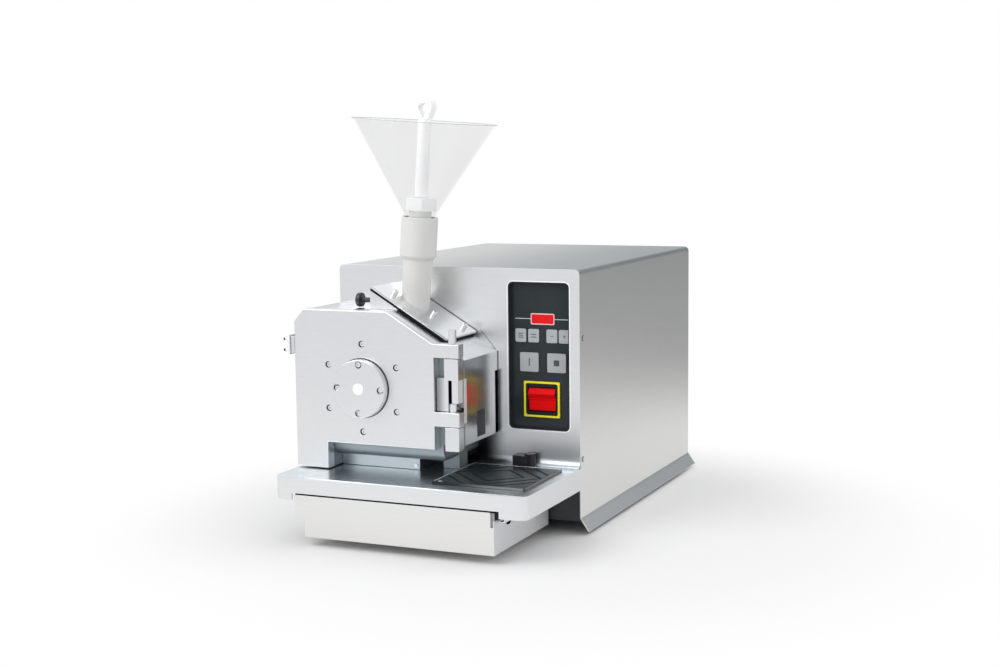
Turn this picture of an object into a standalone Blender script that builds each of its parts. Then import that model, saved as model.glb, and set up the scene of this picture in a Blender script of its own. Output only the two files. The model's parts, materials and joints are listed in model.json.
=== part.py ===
"""Bench cutting mill: a steel housing with a table, a milling chamber with a hinged door, a feed
funnel with a plunger, and a collecting drawer. Metres, +Z up, +Y towards the back.

Sizes are given in the panel frame: x from the housing's left side, y from the front panel's face,
z from the floor. One empty carries the whole mill to the middle of its own footprint.
"""

import math

import bmesh
import bpy
from mathutils import Matrix, Vector

# Shared clearances
touch = 0.0003
overrun = 0.012
sheet = 0.002
round_steps = 32
corner_steps = 5

# Housing
housing_width = 0.416
housing_depth = 0.562
housing_height = 0.411
cover_radius = 0.008
flare_height = 0.020
flare_reach = 0.0137
floor_gap = 0.006
rear_inset = 0.003
base_height = 0.020
vent_width = 0.070
vent_height = 0.004
vent_pitch = 0.010
vent_count = 7
vent_left = 0.060
vent_low = 0.250

# Feet
foot_radius = 0.014
foot_inset_x = 0.036
foot_inset_front = 0.116
foot_inset_rear = 0.046

# Table, one sheet with the front panel
table_height = 0.105
table_depth = 0.215
table_corner = 0.014
table_edge = 0.004
table_bend = 0.012
skirt_height = 0.035

# Keypad
keypad_side_margin = 0.0168
keypad_width = 0.1017
keypad_low = 0.1605
keypad_top_margin = 0.0205
keypad_corner = 0.008
keypad_recess = 0.009
keypad_floor = 0.003
keypad_wall = 0.0016
keypad_flange = 0.005
key_proud = 0.0008
key_travel = 0.0005
key_sink = 0.0009
small_key_width = 0.018
small_key_height = 0.021
small_key_offsets = (0.0085, 0.030, 0.0605, 0.081)
large_key_width = 0.031
large_key_height = 0.030
large_key_offsets = (0.016, 0.0615)
display_offset = 0.0345
display_width = 0.0395
display_height = 0.0175
display_proud = 0.0006
board_gap = 0.014
board_thick = 0.0016
board_margin = 0.003
row_gap_shares = (0.181, 0.138, 0.151, 0.066)
boss_radius = 0.003
boss_inset = 0.008

# Main switch
switch_offset = 0.053
switch_width = 0.0597
switch_height = 0.0558
switch_rim = 0.0055
switch_proud = 0.0035
switch_depth = 0.022
switch_wall = 0.003
rocker_width = 0.044
rocker_height = 0.035
rocker_face_proud = 0.0006
rocker_ridge_proud = 0.0060
rocker_ridge_height = 0.0085
rocker_depth = 0.008
rocker_swing_gap = 0.0018
rocker_pin_radius = 0.0015
rocker_pin_length = 0.002

# Rotor axis and chamber
axis_x = 0.1175
axis_rise = 0.1303
chamber_depth = 0.1267
chamber_left = 0.003
chamber_drop = 0.0010
chamber_foot_right = 0.055
chamber_foot_gap = 0.002
barrel_right = 0.245
barrel_low_rise = 0.019
barrel_corner = 0.009
barrel_round = 0.022
wing_right = 0.2793
wing_low_rise = 0.048
bore_radius = 0.057
bore_back_wall = 0.024
outlet_half_width = 0.040
outlet_front = 0.095
outlet_back = 0.032
rear_notch_depth = 0.012
rear_notch_reach = 0.028
rear_notch_top_rise = 0.147
side_slot_front = 0.080
side_slot_back = 0.049
side_slot_low_rise = 0.054
side_slot_top_rise = 0.094
side_slot_reach = 0.022
stand_left = 0.218
stand_front = 0.0726
stand_back = 0.043

# Door
door_front = 0.1447
door_thick = 0.0174
door_left = 0.0
door_right = 0.239
door_top_rise = 0.2485
door_low_rise = 0.043
door_leg_right = 0.0555
door_chamfer_width = 0.0168
door_chamfer_height = 0.020
slope_angle = math.radians(30.8)
slope_foot_x = 0.237
ear_right = 0.280
upper_ear_low_rise = 0.182
upper_ear_top_rise = 0.203
lower_ear_low_rise = 0.0785
lower_ear_top_rise = 0.1005
door_screw_circle = 0.0674
door_screw_radius = 0.0052
door_screw_depth = 0.007
door_screw_count = 6

# Hinge
hinge_x = 0.2665
hinge_y = -0.136
pin_radius = 0.005
pin_gap = 0.0003
pin_reach = 0.024
upper_pin_head_radius = 0.006
upper_pin_head_height = 0.0205
lower_pin_head_radius = 0.0055
lower_pin_head_height = 0.0125
knuckle_left = 0.2564
knuckle_gap = 0.0008
upper_knuckle_height = 0.032
lower_knuckle_height = 0.0355
web_left = 0.268
web_setback = 0.0012
mid_block_right = 0.2595
mid_block_gap = 0.0012
mid_block_setback = 0.007
ear_swing_gap = 0.0012

# Front bearing in the door
cover_disc_radius = 0.0445
cover_disc_thick = 0.0123
cover_disc_bevel = 0.0012
front_bearing_radius = 0.026
front_bearing_bore = 0.009
front_bearing_length = 0.0140
stub_radius = 0.008
stub_tip_radius = 0.006
stub_length = 0.0125

# Rotor, shaft and drive
rotor_radius = 0.050
rotor_root_radius = 0.034
rotor_blades = 4
rotor_face_lead = math.radians(10)
rotor_end_gap = 0.005
rotor_bore = 0.014
shaft_radius = 0.012
shaft_tail = 0.098
bearing_hub_radius = 0.030
bearing_hub_front = 0.019
bearing_hub_back = 0.060
bearing_flange_radius = 0.048
bearing_flange_thick = 0.008
bearing_seat_radius = 0.026
bearing_lip = 0.002
bearing_length = 0.015
bearing_setback = 0.003
coupling_radius = 0.026
coupling_front = 0.070
coupling_length = 0.058
bracket_front = 0.132
bracket_thick = 0.008
bracket_side_margin = 0.002
bracket_hole_radius = 0.038
bracket_foot_length = 0.060
bracket_foot_thick = 0.008
motor_flange_radius = 0.080
motor_flange_thick = 0.011
motor_radius = 0.065
motor_length = 0.160
motor_cap_radius = 0.058
motor_cap_length = 0.016
motor_shaft_reach = 0.040
terminal_width = 0.080
terminal_length = 0.090
terminal_height = 0.034
terminal_setback = 0.050

# Frame plate behind the front panel
chassis_left = 0.010
chassis_top_gap = 0.066
chassis_thick = 0.006
chassis_foot_length = 0.045

# Electrics and rear
inverter_width = 0.095
inverter_depth = 0.190
inverter_height = 0.200
inverter_front = 0.200
inverter_side_gap = 0.012
inlet_side_margin = 0.086
inlet_z = 0.085
inlet_width = 0.048
inlet_height = 0.028
inlet_flange = 0.0025
inlet_body_width = 0.028
inlet_body_height = 0.021
inlet_body_depth = 0.024
inlet_socket_wall = 0.002
inlet_socket_depth = 0.016

# Knives and sieve
knife_thick = 0.008
knife_back_reach = 0.011
rotor_gap = 0.0006
knife_end_gap = 0.004
sieve_thick = 0.0028
sieve_half_angle = math.radians(56)

# Chute
chute_right = 0.1905
chute_front = 0.0994
chute_back = 0.014

# Feed plate, tube, funnel and plunger
plate_left = 0.114
plate_right = 0.2414
plate_front = 0.108
plate_back = 0.003
seal_thick = 0.0030
plate_thick = 0.0034
feed_x = 0.1636
feed_y = -0.052
feed_tilt = math.radians(4.2)
tube_bottom = 0.016
tube_root_radius = 0.022
tube_neck_radius = 0.0236
tube_bore_radius = 0.0195
collar_low = 0.078
collar_slope = 0.004
collar_top = 0.140
collar_radius = 0.0282
collar_socket_radius = 0.0244
collar_socket_depth = 0.046
funnel_wall = 0.0016
funnel_neck_radius = 0.0262
funnel_neck_top = 0.147
funnel_rim_radius = 0.1085
funnel_top = 0.285
funnel_lip = 0.0025
stop_radius = 0.026
stop_height = 0.019
stop_lobe_depth = 0.0035
stop_lobes = 6
plunger_radius = 0.0175
plunger_drop = 0.115
rod_radius = 0.0100
rod_top = 0.290
ring_radius = 0.0165
ring_hole_radius = 0.0062
ring_thick = 0.013

# Lock knob on the feed block
knob_radius = 0.011
knob_thick = 0.008
knob_y = -0.093
knob_lift = 0.0013
knob_gap = 0.0205
knob_stud_radius = 0.004

# Latch
latch_low_rise = 0.1767
latch_height = 0.0301
latch_arm_outer = -0.0124
latch_arm_thick = 0.0048
latch_arm_front = 0.1465
latch_arm_shoulder = 0.116
latch_pivot_x = -0.010
latch_pivot_y = -0.106
latch_knuckle_radius = 0.004
latch_trunnion_radius = 0.002
latch_ear_thick = 0.005
latch_ear_reach = 0.006
latch_base_thick = 0.004
latch_bracket_back = 0.099
latch_bracket_front = 0.1125
catch_reach = 0.007
catch_setback = 0.0007
catch_depth = 0.013
catch_inset = 0.0023
peg_radius = 0.002
peg_length = 0.0071
peg_offset = 0.0085
peg_setback = 0.0035

# Drip tray and interlock
tray_gap = 0.006
tray_side_margin = 0.017
tray_front = 0.181
tray_back = 0.033
tray_height = 0.0034
tray_wall = 0.002
tray_floor = 0.0009
mat_thick = 0.0016
interlock_width = 0.025
interlock_front = 0.0232
interlock_back = 0.0008
interlock_height = 0.017
interlock_post_radius = 0.009
interlock_post_height = 0.0195
interlock_post_offset = 0.012
interlock_post_y = -0.0105

# Drawer
drawer_margin = 0.051
drawer_front = 0.2131
drawer_back = 0.006
drawer_low = 0.014
drawer_side_top = 0.065
drawer_face_top = 0.0775
drawer_wing_width = 0.017
drawer_wing_low = 0.0405
drawer_relief_width = 0.0055
drawer_relief_low = 0.055
drawer_flange = 0.0095
drawer_flange_front = 0.150
finger_radius = 0.015
finger_y = -0.160
slot_gap = 0.003
slot_end_gap = 0.003
slot_right_gap = 0.0085
rail_front = 0.200
rail_back = 0.008
rail_overlap = 0.008

# Places worked out from the sizes above, the chamber, door and latch up from the table
axis_z = table_height + axis_rise
barrel_low = table_height + barrel_low_rise
wing_low = table_height + wing_low_rise
rear_notch_top = table_height + rear_notch_top_rise
side_slot_low = table_height + side_slot_low_rise
side_slot_top = table_height + side_slot_top_rise
door_top = table_height + door_top_rise
door_low = table_height + door_low_rise
upper_ear_low = table_height + upper_ear_low_rise
upper_ear_top = table_height + upper_ear_top_rise
lower_ear_low = table_height + lower_ear_low_rise
lower_ear_top = table_height + lower_ear_top_rise
latch_low = table_height + latch_low_rise
keypad_left = housing_width - keypad_side_margin - keypad_width
keypad_height = housing_height - keypad_top_margin - keypad_low
chassis_right = keypad_left - keypad_flange - sheet
chassis_top = housing_height - chassis_top_gap
inlet_x = housing_width - inlet_side_margin
tray_left = barrel_right + tray_gap
tray_right = housing_width - tray_side_margin
interlock_left = (tray_left + tray_right - interlock_width) / 2
drawer_left = drawer_margin
drawer_right = housing_width - drawer_margin
drawer_wing_left = drawer_left - drawer_wing_width
slot_right = drawer_right + slot_right_gap
skirt_low = table_height - skirt_height
base_top = base_height + sheet
door_back = door_front - door_thick
chamber_top = door_top - chamber_drop
door_leg_low = table_height + chamber_foot_gap
bore_back = bore_back_wall
motor_face = bracket_front + bracket_thick + touch
latch_reach = -latch_arm_outer + peg_length
reach_left = max(latch_reach, flare_reach)
middle_x = (housing_width + flare_reach - reach_left) / 2
middle_y = (housing_depth - max(table_depth, drawer_front)) / 2


def row_lows():
    """Lower edges of the switch, the large keys, the small keys and the display."""
    heights = (switch_height, large_key_height, small_key_height, display_height)
    free = keypad_height - sum(heights)
    low = keypad_low
    lows = []
    for height, share in zip(heights, row_gap_shares):
        low += free * share
        lows.append(low)
        low += height
    return lows


switch_low, large_key_low, small_key_low, display_low = row_lows()
switch_x = keypad_left + switch_offset
switch_z = switch_low + switch_height / 2
display_left = keypad_left + display_offset


def slope_z(x, top=upper_ear_top):
    """Height of the sloped top face at x."""
    return top + (slope_foot_x - x) * math.tan(slope_angle)


def slope_x(z, top=upper_ear_top):
    """Where the sloped top face is z high."""
    return slope_foot_x - (z - top) / math.tan(slope_angle)


# Materials
colours = {
    "satin_steel": ((0.70, 0.71, 0.72, 1), 0.32, 1.0),
    "brushed_steel": ((0.56, 0.55, 0.53, 1), 0.38, 1.0),
    "machined_plate": ((0.80, 0.81, 0.82, 1), 0.35, 0.6),
    "polished_steel": ((0.86, 0.87, 0.88, 1), 0.12, 1.0),
    "tool_steel": ((0.42, 0.43, 0.45, 1), 0.30, 1.0),
    "cast_metal": ((0.30, 0.32, 0.34, 1), 0.55, 0.6),
    "dark_sheet": ((0.10, 0.11, 0.12, 1), 0.50, 0.6),
    "case_plastic": ((0.25, 0.26, 0.27, 1), 0.50, 0.0),
    "cream_plastic": ((0.80, 0.79, 0.75, 1), 0.45, 0.0),
    "white_plastic": ((0.90, 0.90, 0.90, 1), 0.40, 0.0),
    "clear_plastic": ((0.93, 0.94, 0.95, 0.35), 0.08, 0.0),
    "black_rubber": ((0.02, 0.02, 0.022, 1), 0.60, 0.0),
    "black_plastic": ((0.015, 0.016, 0.018, 1), 0.25, 0.0),
    "grey_key": ((0.62, 0.63, 0.63, 1), 0.45, 0.0),
    "yellow_plastic": ((0.95, 0.72, 0.03, 1), 0.35, 0.0),
    "red_plastic": ((0.80, 0.02, 0.02, 1), 0.30, 0.0),
    "red_display": ((0.85, 0.02, 0.02, 1), 0.15, 0.0),
    "board_green": ((0.03, 0.20, 0.09, 1), 0.50, 0.0),
}


def material(name):
    """The named Principled material, made once."""
    found = bpy.data.materials.get(name)
    if found:
        return found
    colour, rough, metal = colours[name]
    made = bpy.data.materials.new(name)
    made.use_nodes = True
    shader = made.node_tree.nodes["Principled BSDF"]
    shader.inputs["Base Color"].default_value = (colour[0], colour[1], colour[2], 1)
    shader.inputs["Roughness"].default_value = rough
    shader.inputs["Metallic"].default_value = metal
    shader.inputs["Alpha"].default_value = colour[3]
    made.diffuse_color = colour
    return made


# Outlines in two dimensions
def arc(centre, radius, start, end, steps=corner_steps):
    """Points of an arc in degrees, ends included."""
    points = []
    for step in range(steps + 1):
        angle = math.radians(start + (end - start) * step / steps)
        points.append((centre[0] + radius * math.cos(angle), centre[1] + radius * math.sin(angle)))
    return points


def rectangle(left, right, low, high, radius=0.0):
    """A rectangle's outline, with round corners where a radius is given."""
    if not radius:
        return [(left, low), (right, low), (right, high), (left, high)]
    corners = ((right - radius, low + radius, -90), (right - radius, high - radius, 0),
               (left + radius, high - radius, 90), (left + radius, low + radius, 180))
    points = []
    for x, y, start in corners:
        points += arc((x, y), radius, start, start + 90)
    return points


def circle(centre, radius, steps=round_steps):
    """A full circle's points, each once."""
    return arc(centre, radius, 0, 360 * (steps - 1) / steps, steps - 1)


def ribbon(path, thickness):
    """The outline of a sheet of one thickness that lies on the left of a path."""
    inner = []
    for index, point in enumerate(path):
        normals = []
        for first, second in ((index - 1, index), (index, index + 1)):
            if first >= 0 and second < len(path):
                along = Vector(path[second]) - Vector(path[first])
                along.normalize()
                normals.append(Vector((-along.y, along.x)))
        mean = sum(normals, Vector((0, 0))) / len(normals)
        shift = mean * (thickness / mean.length_squared)
        inner.append((point[0] + shift.x, point[1] + shift.y))
    return list(path) + inner[::-1]


def slab(low, high):
    """The outline of a layer that lies on the sloped face, between two heights above it."""
    normal = (math.sin(slope_angle), math.cos(slope_angle))
    points = []
    for x, lift in ((plate_left, low), (plate_right, low), (plate_right, high), (plate_left, high)):
        points.append((x + normal[0] * lift, slope_z(x) + normal[1] * lift))
    return points


# Solids
def new_object(name, builder):
    """An object from a filled bmesh."""
    builder.normal_update()
    mesh = bpy.data.meshes.new(name)
    builder.to_mesh(mesh)
    builder.free()
    made = bpy.data.objects.new(name, mesh)
    bpy.context.collection.objects.link(made)
    return made


def prism(name, outline, axis, low, high):
    """An outline, given in the two axes other than the named one, extruded along that axis."""
    builder = bmesh.new()
    corners = []
    for first, second in outline:
        where = {"x": (low, first, second), "y": (first, low, second), "z": (first, second, low)}[axis]
        corners.append(builder.verts.new(where))
    face = builder.faces.new(corners)
    swept = bmesh.ops.extrude_face_region(builder, geom=[face])
    moved = [item for item in swept["geom"] if isinstance(item, bmesh.types.BMVert)]
    offset = {"x": (high - low, 0, 0), "y": (0, high - low, 0), "z": (0, 0, high - low)}[axis]
    bmesh.ops.translate(builder, verts=moved, vec=offset)
    bmesh.ops.recalc_face_normals(builder, faces=builder.faces)
    return new_object(name, builder)


def box(name, x_range, y_range, z_range):
    """A plain box from three ranges."""
    return prism(name, rectangle(*x_range, *y_range), "z", *z_range)


def turned(name, profile, origin, direction, steps=round_steps):
    """A profile of (radius, distance) points, given as a closed loop, turned about an axis."""
    builder = bmesh.new()
    rings = []
    for radius, distance in profile:
        if radius <= 0:
            rings.append([builder.verts.new((0, 0, distance))])
            continue
        ring = []
        for x, y in circle((0, 0), radius, steps):
            ring.append(builder.verts.new((x, y, distance)))
        rings.append(ring)
    for index, ring in enumerate(rings):
        following = rings[(index + 1) % len(rings)]
        if len(ring) == 1 and len(following) == 1:
            continue
        for step in range(steps):
            corners = [ring[step % len(ring)], ring[(step + 1) % len(ring)],
                       following[(step + 1) % len(following)], following[step % len(following)]]
            corners = list(dict.fromkeys(corners))
            builder.faces.new(corners)
    bmesh.ops.recalc_face_normals(builder, faces=builder.faces)
    turn = Vector((0, 0, 1)).rotation_difference(Vector(direction)).to_matrix().to_4x4()
    bmesh.ops.transform(builder, matrix=Matrix.Translation(origin) @ turn, verts=builder.verts)
    return new_object(name, builder)


def cylinder(name, radius, low, high, origin, direction, steps=round_steps):
    """A cylinder between two distances along an axis."""
    return turned(name, [(0, low), (radius, low), (radius, high), (0, high)], origin, direction, steps)


def settle(target):
    """Make an object's modifiers part of its mesh."""
    bpy.context.view_layer.update()
    evaluated = target.evaluated_get(bpy.context.evaluated_depsgraph_get())
    finished = bpy.data.meshes.new_from_object(evaluated)
    old = target.data
    target.modifiers.clear()
    target.data = finished
    bpy.data.meshes.remove(old)


def combine(target, others, operation):
    """Join other solids to a solid, or cut them out of it, and remove them."""
    for other in others:
        modifier = target.modifiers.new(operation, "BOOLEAN")
        modifier.operation = operation
        modifier.solver = "EXACT"
        modifier.object = other
        settle(target)
        bpy.data.objects.remove(other)
    return target


def cut(target, *others):
    """Take solids away from a solid."""
    return combine(target, others, "DIFFERENCE")


def join(target, *others):
    """Join solids to a solid."""
    return combine(target, others, "UNION")


def pivot(name, place, parent):
    """An empty on a joint's axis."""
    empty = bpy.data.objects.new(name, None)
    empty.location = place
    empty.parent = parent
    bpy.context.collection.objects.link(empty)
    return empty


def finish(piece, name, look, carrier, place):
    """Name a piece, give it its material and hang it on its carrier, whose origin is at place."""
    piece.name = name
    piece.data.name = name
    piece.data.transform(Matrix.Translation(Vector(place)).inverted())
    piece.data.materials.clear()
    piece.data.materials.append(material(look))
    piece.data.shade_smooth()
    piece.data.set_sharp_from_angle(angle=math.radians(30))
    piece.parent = carrier
    return piece


def corner_cutter(corner, inward, radius, axis, low, high):
    """A cutter that rounds one square corner of an outline, seen along an axis."""
    centre = (corner[0] + inward[0] * radius, corner[1] + inward[1] * radius)
    outside = (corner[0] - inward[0] * overrun, corner[1] - inward[1] * overrun)
    start = math.degrees(math.atan2(0, -inward[0]))
    end = start + 90 * inward[0] * inward[1]
    round_part = arc(centre, radius, start, end)
    points = [outside, (outside[0], centre[1])] + round_part + [(centre[0], outside[1])]
    return prism("corner", points, axis, low, high)


def bend_cutter(left, right):
    """A cutter that clears the bend between the table and the front panel."""
    start = table_bend + touch + overrun
    outline = [(-start, table_height - overrun), (overrun, table_height - overrun),
               (overrun, table_height + start)]
    return prism("bend", outline, "x", left, right)


# Housing
def build_cover():
    """The bent cover with its flared lower edges."""
    side_low = floor_gap + flare_height
    right = housing_width
    top = housing_height
    path = [(right + flare_reach, floor_gap), (right, side_low)]
    path += arc((right - cover_radius, top - cover_radius), cover_radius, 0, 90)
    path += arc((cover_radius, top - cover_radius), cover_radius, 90, 180)
    path += [(0, side_low), (-flare_reach, floor_gap)]
    return prism("cover", ribbon(path, sheet), "y", sheet + touch, housing_depth)


def build_front_panel():
    """Front panel, table and skirt, bent from one sheet."""
    front = -table_depth
    path = [(0, housing_height), (0, table_height + table_bend)]
    path += arc((-table_bend, table_height + table_bend), table_bend, 0, -90)[1:]
    path += arc((front + table_edge, table_height - table_edge), table_edge, 90, 180)
    path += [(front, skirt_low)]
    panel = prism("panel", ribbon(path, sheet), "x", 0, housing_width)
    side_top = table_height - sheet / 2
    left = table_corner
    right = housing_width - table_corner
    plan = [(0, sheet)]
    plan += arc((left, front + table_corner), table_corner, 180, 270)
    plan += arc((right, front + table_corner), table_corner, 270, 360)
    plan += [(housing_width, sheet)]
    join(panel, prism("skirt", ribbon(plan, sheet), "z", skirt_low, side_top))
    for corner, inward in (((0, front), (1, 1)), ((housing_width, front), (-1, 1))):
        cut(panel, corner_cutter(corner, inward, table_corner, "z", skirt_low - overrun,
                                 table_height + overrun))
    for corner, inward in (((0, housing_height), (1, -1)), ((housing_width, housing_height), (-1, -1))):
        cut(panel, corner_cutter(corner, inward, cover_radius, "y", -overrun, overrun))
    window = rectangle(keypad_left, keypad_left + keypad_width, keypad_low,
                       keypad_low + keypad_height, keypad_corner)
    through = (-overrun, overrun)
    cut(panel, prism("window", window, "y", *through),
        prism("hub_hole", circle((axis_x, axis_z), bearing_hub_radius + touch), "y", *through),
        box("drawer_slot", (drawer_wing_left - slot_end_gap, slot_right),
            (front - overrun, front + overrun), (skirt_low - overrun, drawer_face_top + slot_gap)),
        box("chute_hole", (axis_x - outlet_half_width, axis_x + outlet_half_width),
            (-outlet_front, -outlet_back), (table_height - overrun, table_height + overrun)))
    return panel


def build_base():
    """Base plate, bent up at the front under the table."""
    left = sheet + touch
    right = housing_width - left
    front = sheet + touch
    back = housing_depth - rear_inset - sheet - touch
    path = [(back, base_height), (front, base_height), (front, table_height - sheet - touch)]
    return prism("base", ribbon(path[::-1], sheet), "x", left, right)


def build_rear_panel():
    """Rear panel inside the cover, with vents and the hole of the mains inlet."""
    left = sheet + touch
    back = housing_depth - rear_inset
    outline = rectangle(left, housing_width - left, base_height, housing_height - left,
                        cover_radius - sheet)
    panel = prism("rear", outline, "y", back - sheet, back)
    through = (back - overrun, back + overrun)
    for index in range(vent_count):
        low = vent_low + index * vent_pitch
        for side in (vent_left, housing_width - vent_left - vent_width):
            cut(panel, box("vent", (side, side + vent_width), through, (low, low + vent_height)))
    half_width = inlet_body_width / 2 + touch
    half_height = inlet_body_height / 2 + touch
    return cut(panel, box("inlet_hole", (inlet_x - half_width, inlet_x + half_width), through,
                          (inlet_z - half_height, inlet_z + half_height)))


def build_inlet():
    """Mains inlet with its flange outside the rear panel and a socket recess."""
    back = housing_depth - rear_inset
    half_width = inlet_width / 2
    half_height = inlet_height / 2
    body = box("inlet", (inlet_x - half_width, inlet_x + half_width),
               (back + touch, back + touch + inlet_flange), (inlet_z - half_height, inlet_z + half_height))
    half_width = inlet_body_width / 2
    half_height = inlet_body_height / 2
    join(body, box("inlet_body", (inlet_x - half_width, inlet_x + half_width),
                   (back - inlet_body_depth, back + inlet_flange / 2),
                   (inlet_z - half_height, inlet_z + half_height)))
    half_width -= inlet_socket_wall
    half_height -= inlet_socket_wall
    return cut(body, box("socket", (inlet_x - half_width, inlet_x + half_width),
                         (back + inlet_flange - inlet_socket_depth, back + overrun),
                         (inlet_z - half_height, inlet_z + half_height)))


def build_foot(x, y):
    """A round rubber foot under the base plate."""
    return cylinder("foot", foot_radius, 0, base_height - touch, (x, y, 0), (0, 0, 1))


def build_chassis():
    """Thick frame plate behind the front panel, which carries the bearing and the chamber."""
    front = sheet + bearing_flange_thick + 2 * touch
    front = max(front, 2 * sheet + 2 * touch)
    low = base_top + touch
    path = [(front + chassis_foot_length, low), (front, low), (front, chassis_top)]
    plate = prism("chassis", ribbon(path[::-1], chassis_thick), "x", chassis_left, chassis_right)
    return cut(plate, prism("hub_hole", circle((axis_x, axis_z), bearing_hub_radius + touch), "y",
                            front - overrun, front + chassis_thick + overrun))


# Drive
def along_axis(name, profile, steps=round_steps):
    """A profile turned about the rotor axis, with distances along +Y."""
    return turned(name, profile, (axis_x, 0, axis_z), (0, 1, 0), steps)


def build_bearing_housing():
    """Flanged bearing housing between the chamber and the frame plate."""
    flange_front = sheet + touch
    flange_back = flange_front + bearing_flange_thick
    lip_radius = shaft_radius + bearing_lip
    lip_back = bearing_setback - bearing_hub_front
    profile = [(lip_radius, -bearing_hub_front), (bearing_hub_radius, -bearing_hub_front),
               (bearing_hub_radius, flange_front), (bearing_flange_radius, flange_front),
               (bearing_flange_radius, flange_back), (bearing_hub_radius, flange_back),
               (bearing_hub_radius, bearing_hub_back), (bearing_seat_radius + touch, bearing_hub_back),
               (bearing_seat_radius + touch, lip_back), (lip_radius, lip_back)]
    return along_axis("bearing_housing", profile)


def build_rear_bearing(start):
    """A rear bearing, as one ring, from its front face."""
    profile = [(shaft_radius + touch, start), (bearing_seat_radius, start),
               (bearing_seat_radius, start + bearing_length), (shaft_radius + touch, start + bearing_length)]
    return along_axis("rear_bearing", profile)


def build_rotor_shaft():
    """Shaft through the chamber with its tapered front stub."""
    stub_back = -door_back - touch
    step = -bore_back + rotor_end_gap / 2
    core = rotor_bore - touch
    profile = [(0, stub_back - stub_length), (stub_tip_radius, stub_back - stub_length),
               (stub_radius, stub_back), (core, -chamber_depth + rotor_end_gap / 2), (core, step),
               (shaft_radius, step), (shaft_radius, shaft_tail), (0, shaft_tail)]
    return along_axis("rotor_shaft", profile)


def build_cutting_rotor():
    """Star-shaped rotor with one cutting edge on each blade."""
    points = []
    for blade in range(rotor_blades):
        angle = 2 * math.pi * blade / rotor_blades
        step = 2 * math.pi / rotor_blades
        for radius, turn in ((rotor_root_radius, 0), (rotor_radius, rotor_face_lead / 2),
                             (rotor_radius, rotor_face_lead), (rotor_radius - sheet, 2 * rotor_face_lead),
                             (rotor_root_radius, step / 2)):
            points.append((axis_x + radius * math.cos(angle + turn),
                           axis_z + radius * math.sin(angle + turn)))
    front = -chamber_depth + rotor_end_gap
    back = -bore_back - rotor_end_gap / 2
    rotor = prism("rotor", points, "y", front, back)
    return cut(rotor, prism("rotor_bore", circle((axis_x, axis_z), rotor_bore), "y",
                            front - overrun, back + overrun))


def build_coupling_hub():
    """Coupling half on the rotor shaft."""
    back = coupling_front + coupling_length / 2 - touch / 2
    profile = [(shaft_radius + touch, coupling_front), (coupling_radius, coupling_front),
               (coupling_radius, back), (0, back), (0, shaft_tail + touch),
               (shaft_radius + touch, shaft_tail + touch)]
    return along_axis("coupling_hub", profile)


def build_motor_shaft():
    """Motor shaft with its coupling half."""
    front = coupling_front + coupling_length / 2 + touch / 2
    hub_back = coupling_front + coupling_length
    back = motor_face + motor_shaft_reach - touch
    profile = [(0, front), (coupling_radius, front), (coupling_radius, hub_back),
               (shaft_radius, hub_back), (shaft_radius, back), (0, back)]
    return along_axis("motor_shaft", profile)


def build_motor():
    """Drive motor with flange, terminal box and shaft bore."""
    back = motor_face + motor_flange_thick + motor_length
    bore = shaft_radius + touch
    profile = [(bore, motor_face), (motor_flange_radius, motor_face),
               (motor_flange_radius, motor_face + motor_flange_thick),
               (motor_radius, motor_face + motor_flange_thick), (motor_radius, back),
               (motor_cap_radius, back + motor_cap_length), (0, back + motor_cap_length),
               (0, motor_face + motor_shaft_reach), (bore, motor_face + motor_shaft_reach)]
    motor = along_axis("motor", profile)
    start = motor_face + motor_flange_thick + terminal_setback
    return join(motor, box("terminal_box", (axis_x - terminal_width / 2, axis_x + terminal_width / 2),
                           (start, start + terminal_length),
                           (axis_z + motor_cap_radius, axis_z + motor_radius + terminal_height)))


def build_bracket():
    """Motor bracket on the base plate."""
    low = base_top + touch
    top = axis_z + motor_flange_radius + bracket_side_margin
    reach = motor_flange_radius + bracket_side_margin
    bracket = box("bracket", (axis_x - reach, axis_x + reach),
                  (bracket_front, bracket_front + bracket_thick), (low, top))
    join(bracket, box("bracket_foot", (axis_x - reach, axis_x + reach),
                      (bracket_front, bracket_front + bracket_foot_length), (low, low + bracket_foot_thick)))
    return cut(bracket, prism("bracket_hole", circle((axis_x, axis_z), bracket_hole_radius), "y",
                              bracket_front - overrun, bracket_front + bracket_thick + overrun))


def build_inverter():
    """Drive electronics in their own box on the base plate."""
    right = housing_width - sheet - inverter_side_gap
    low = base_top + touch
    return box("inverter", (right - inverter_width, right),
               (inverter_front, inverter_front + inverter_depth), (low, low + inverter_height))


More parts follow.
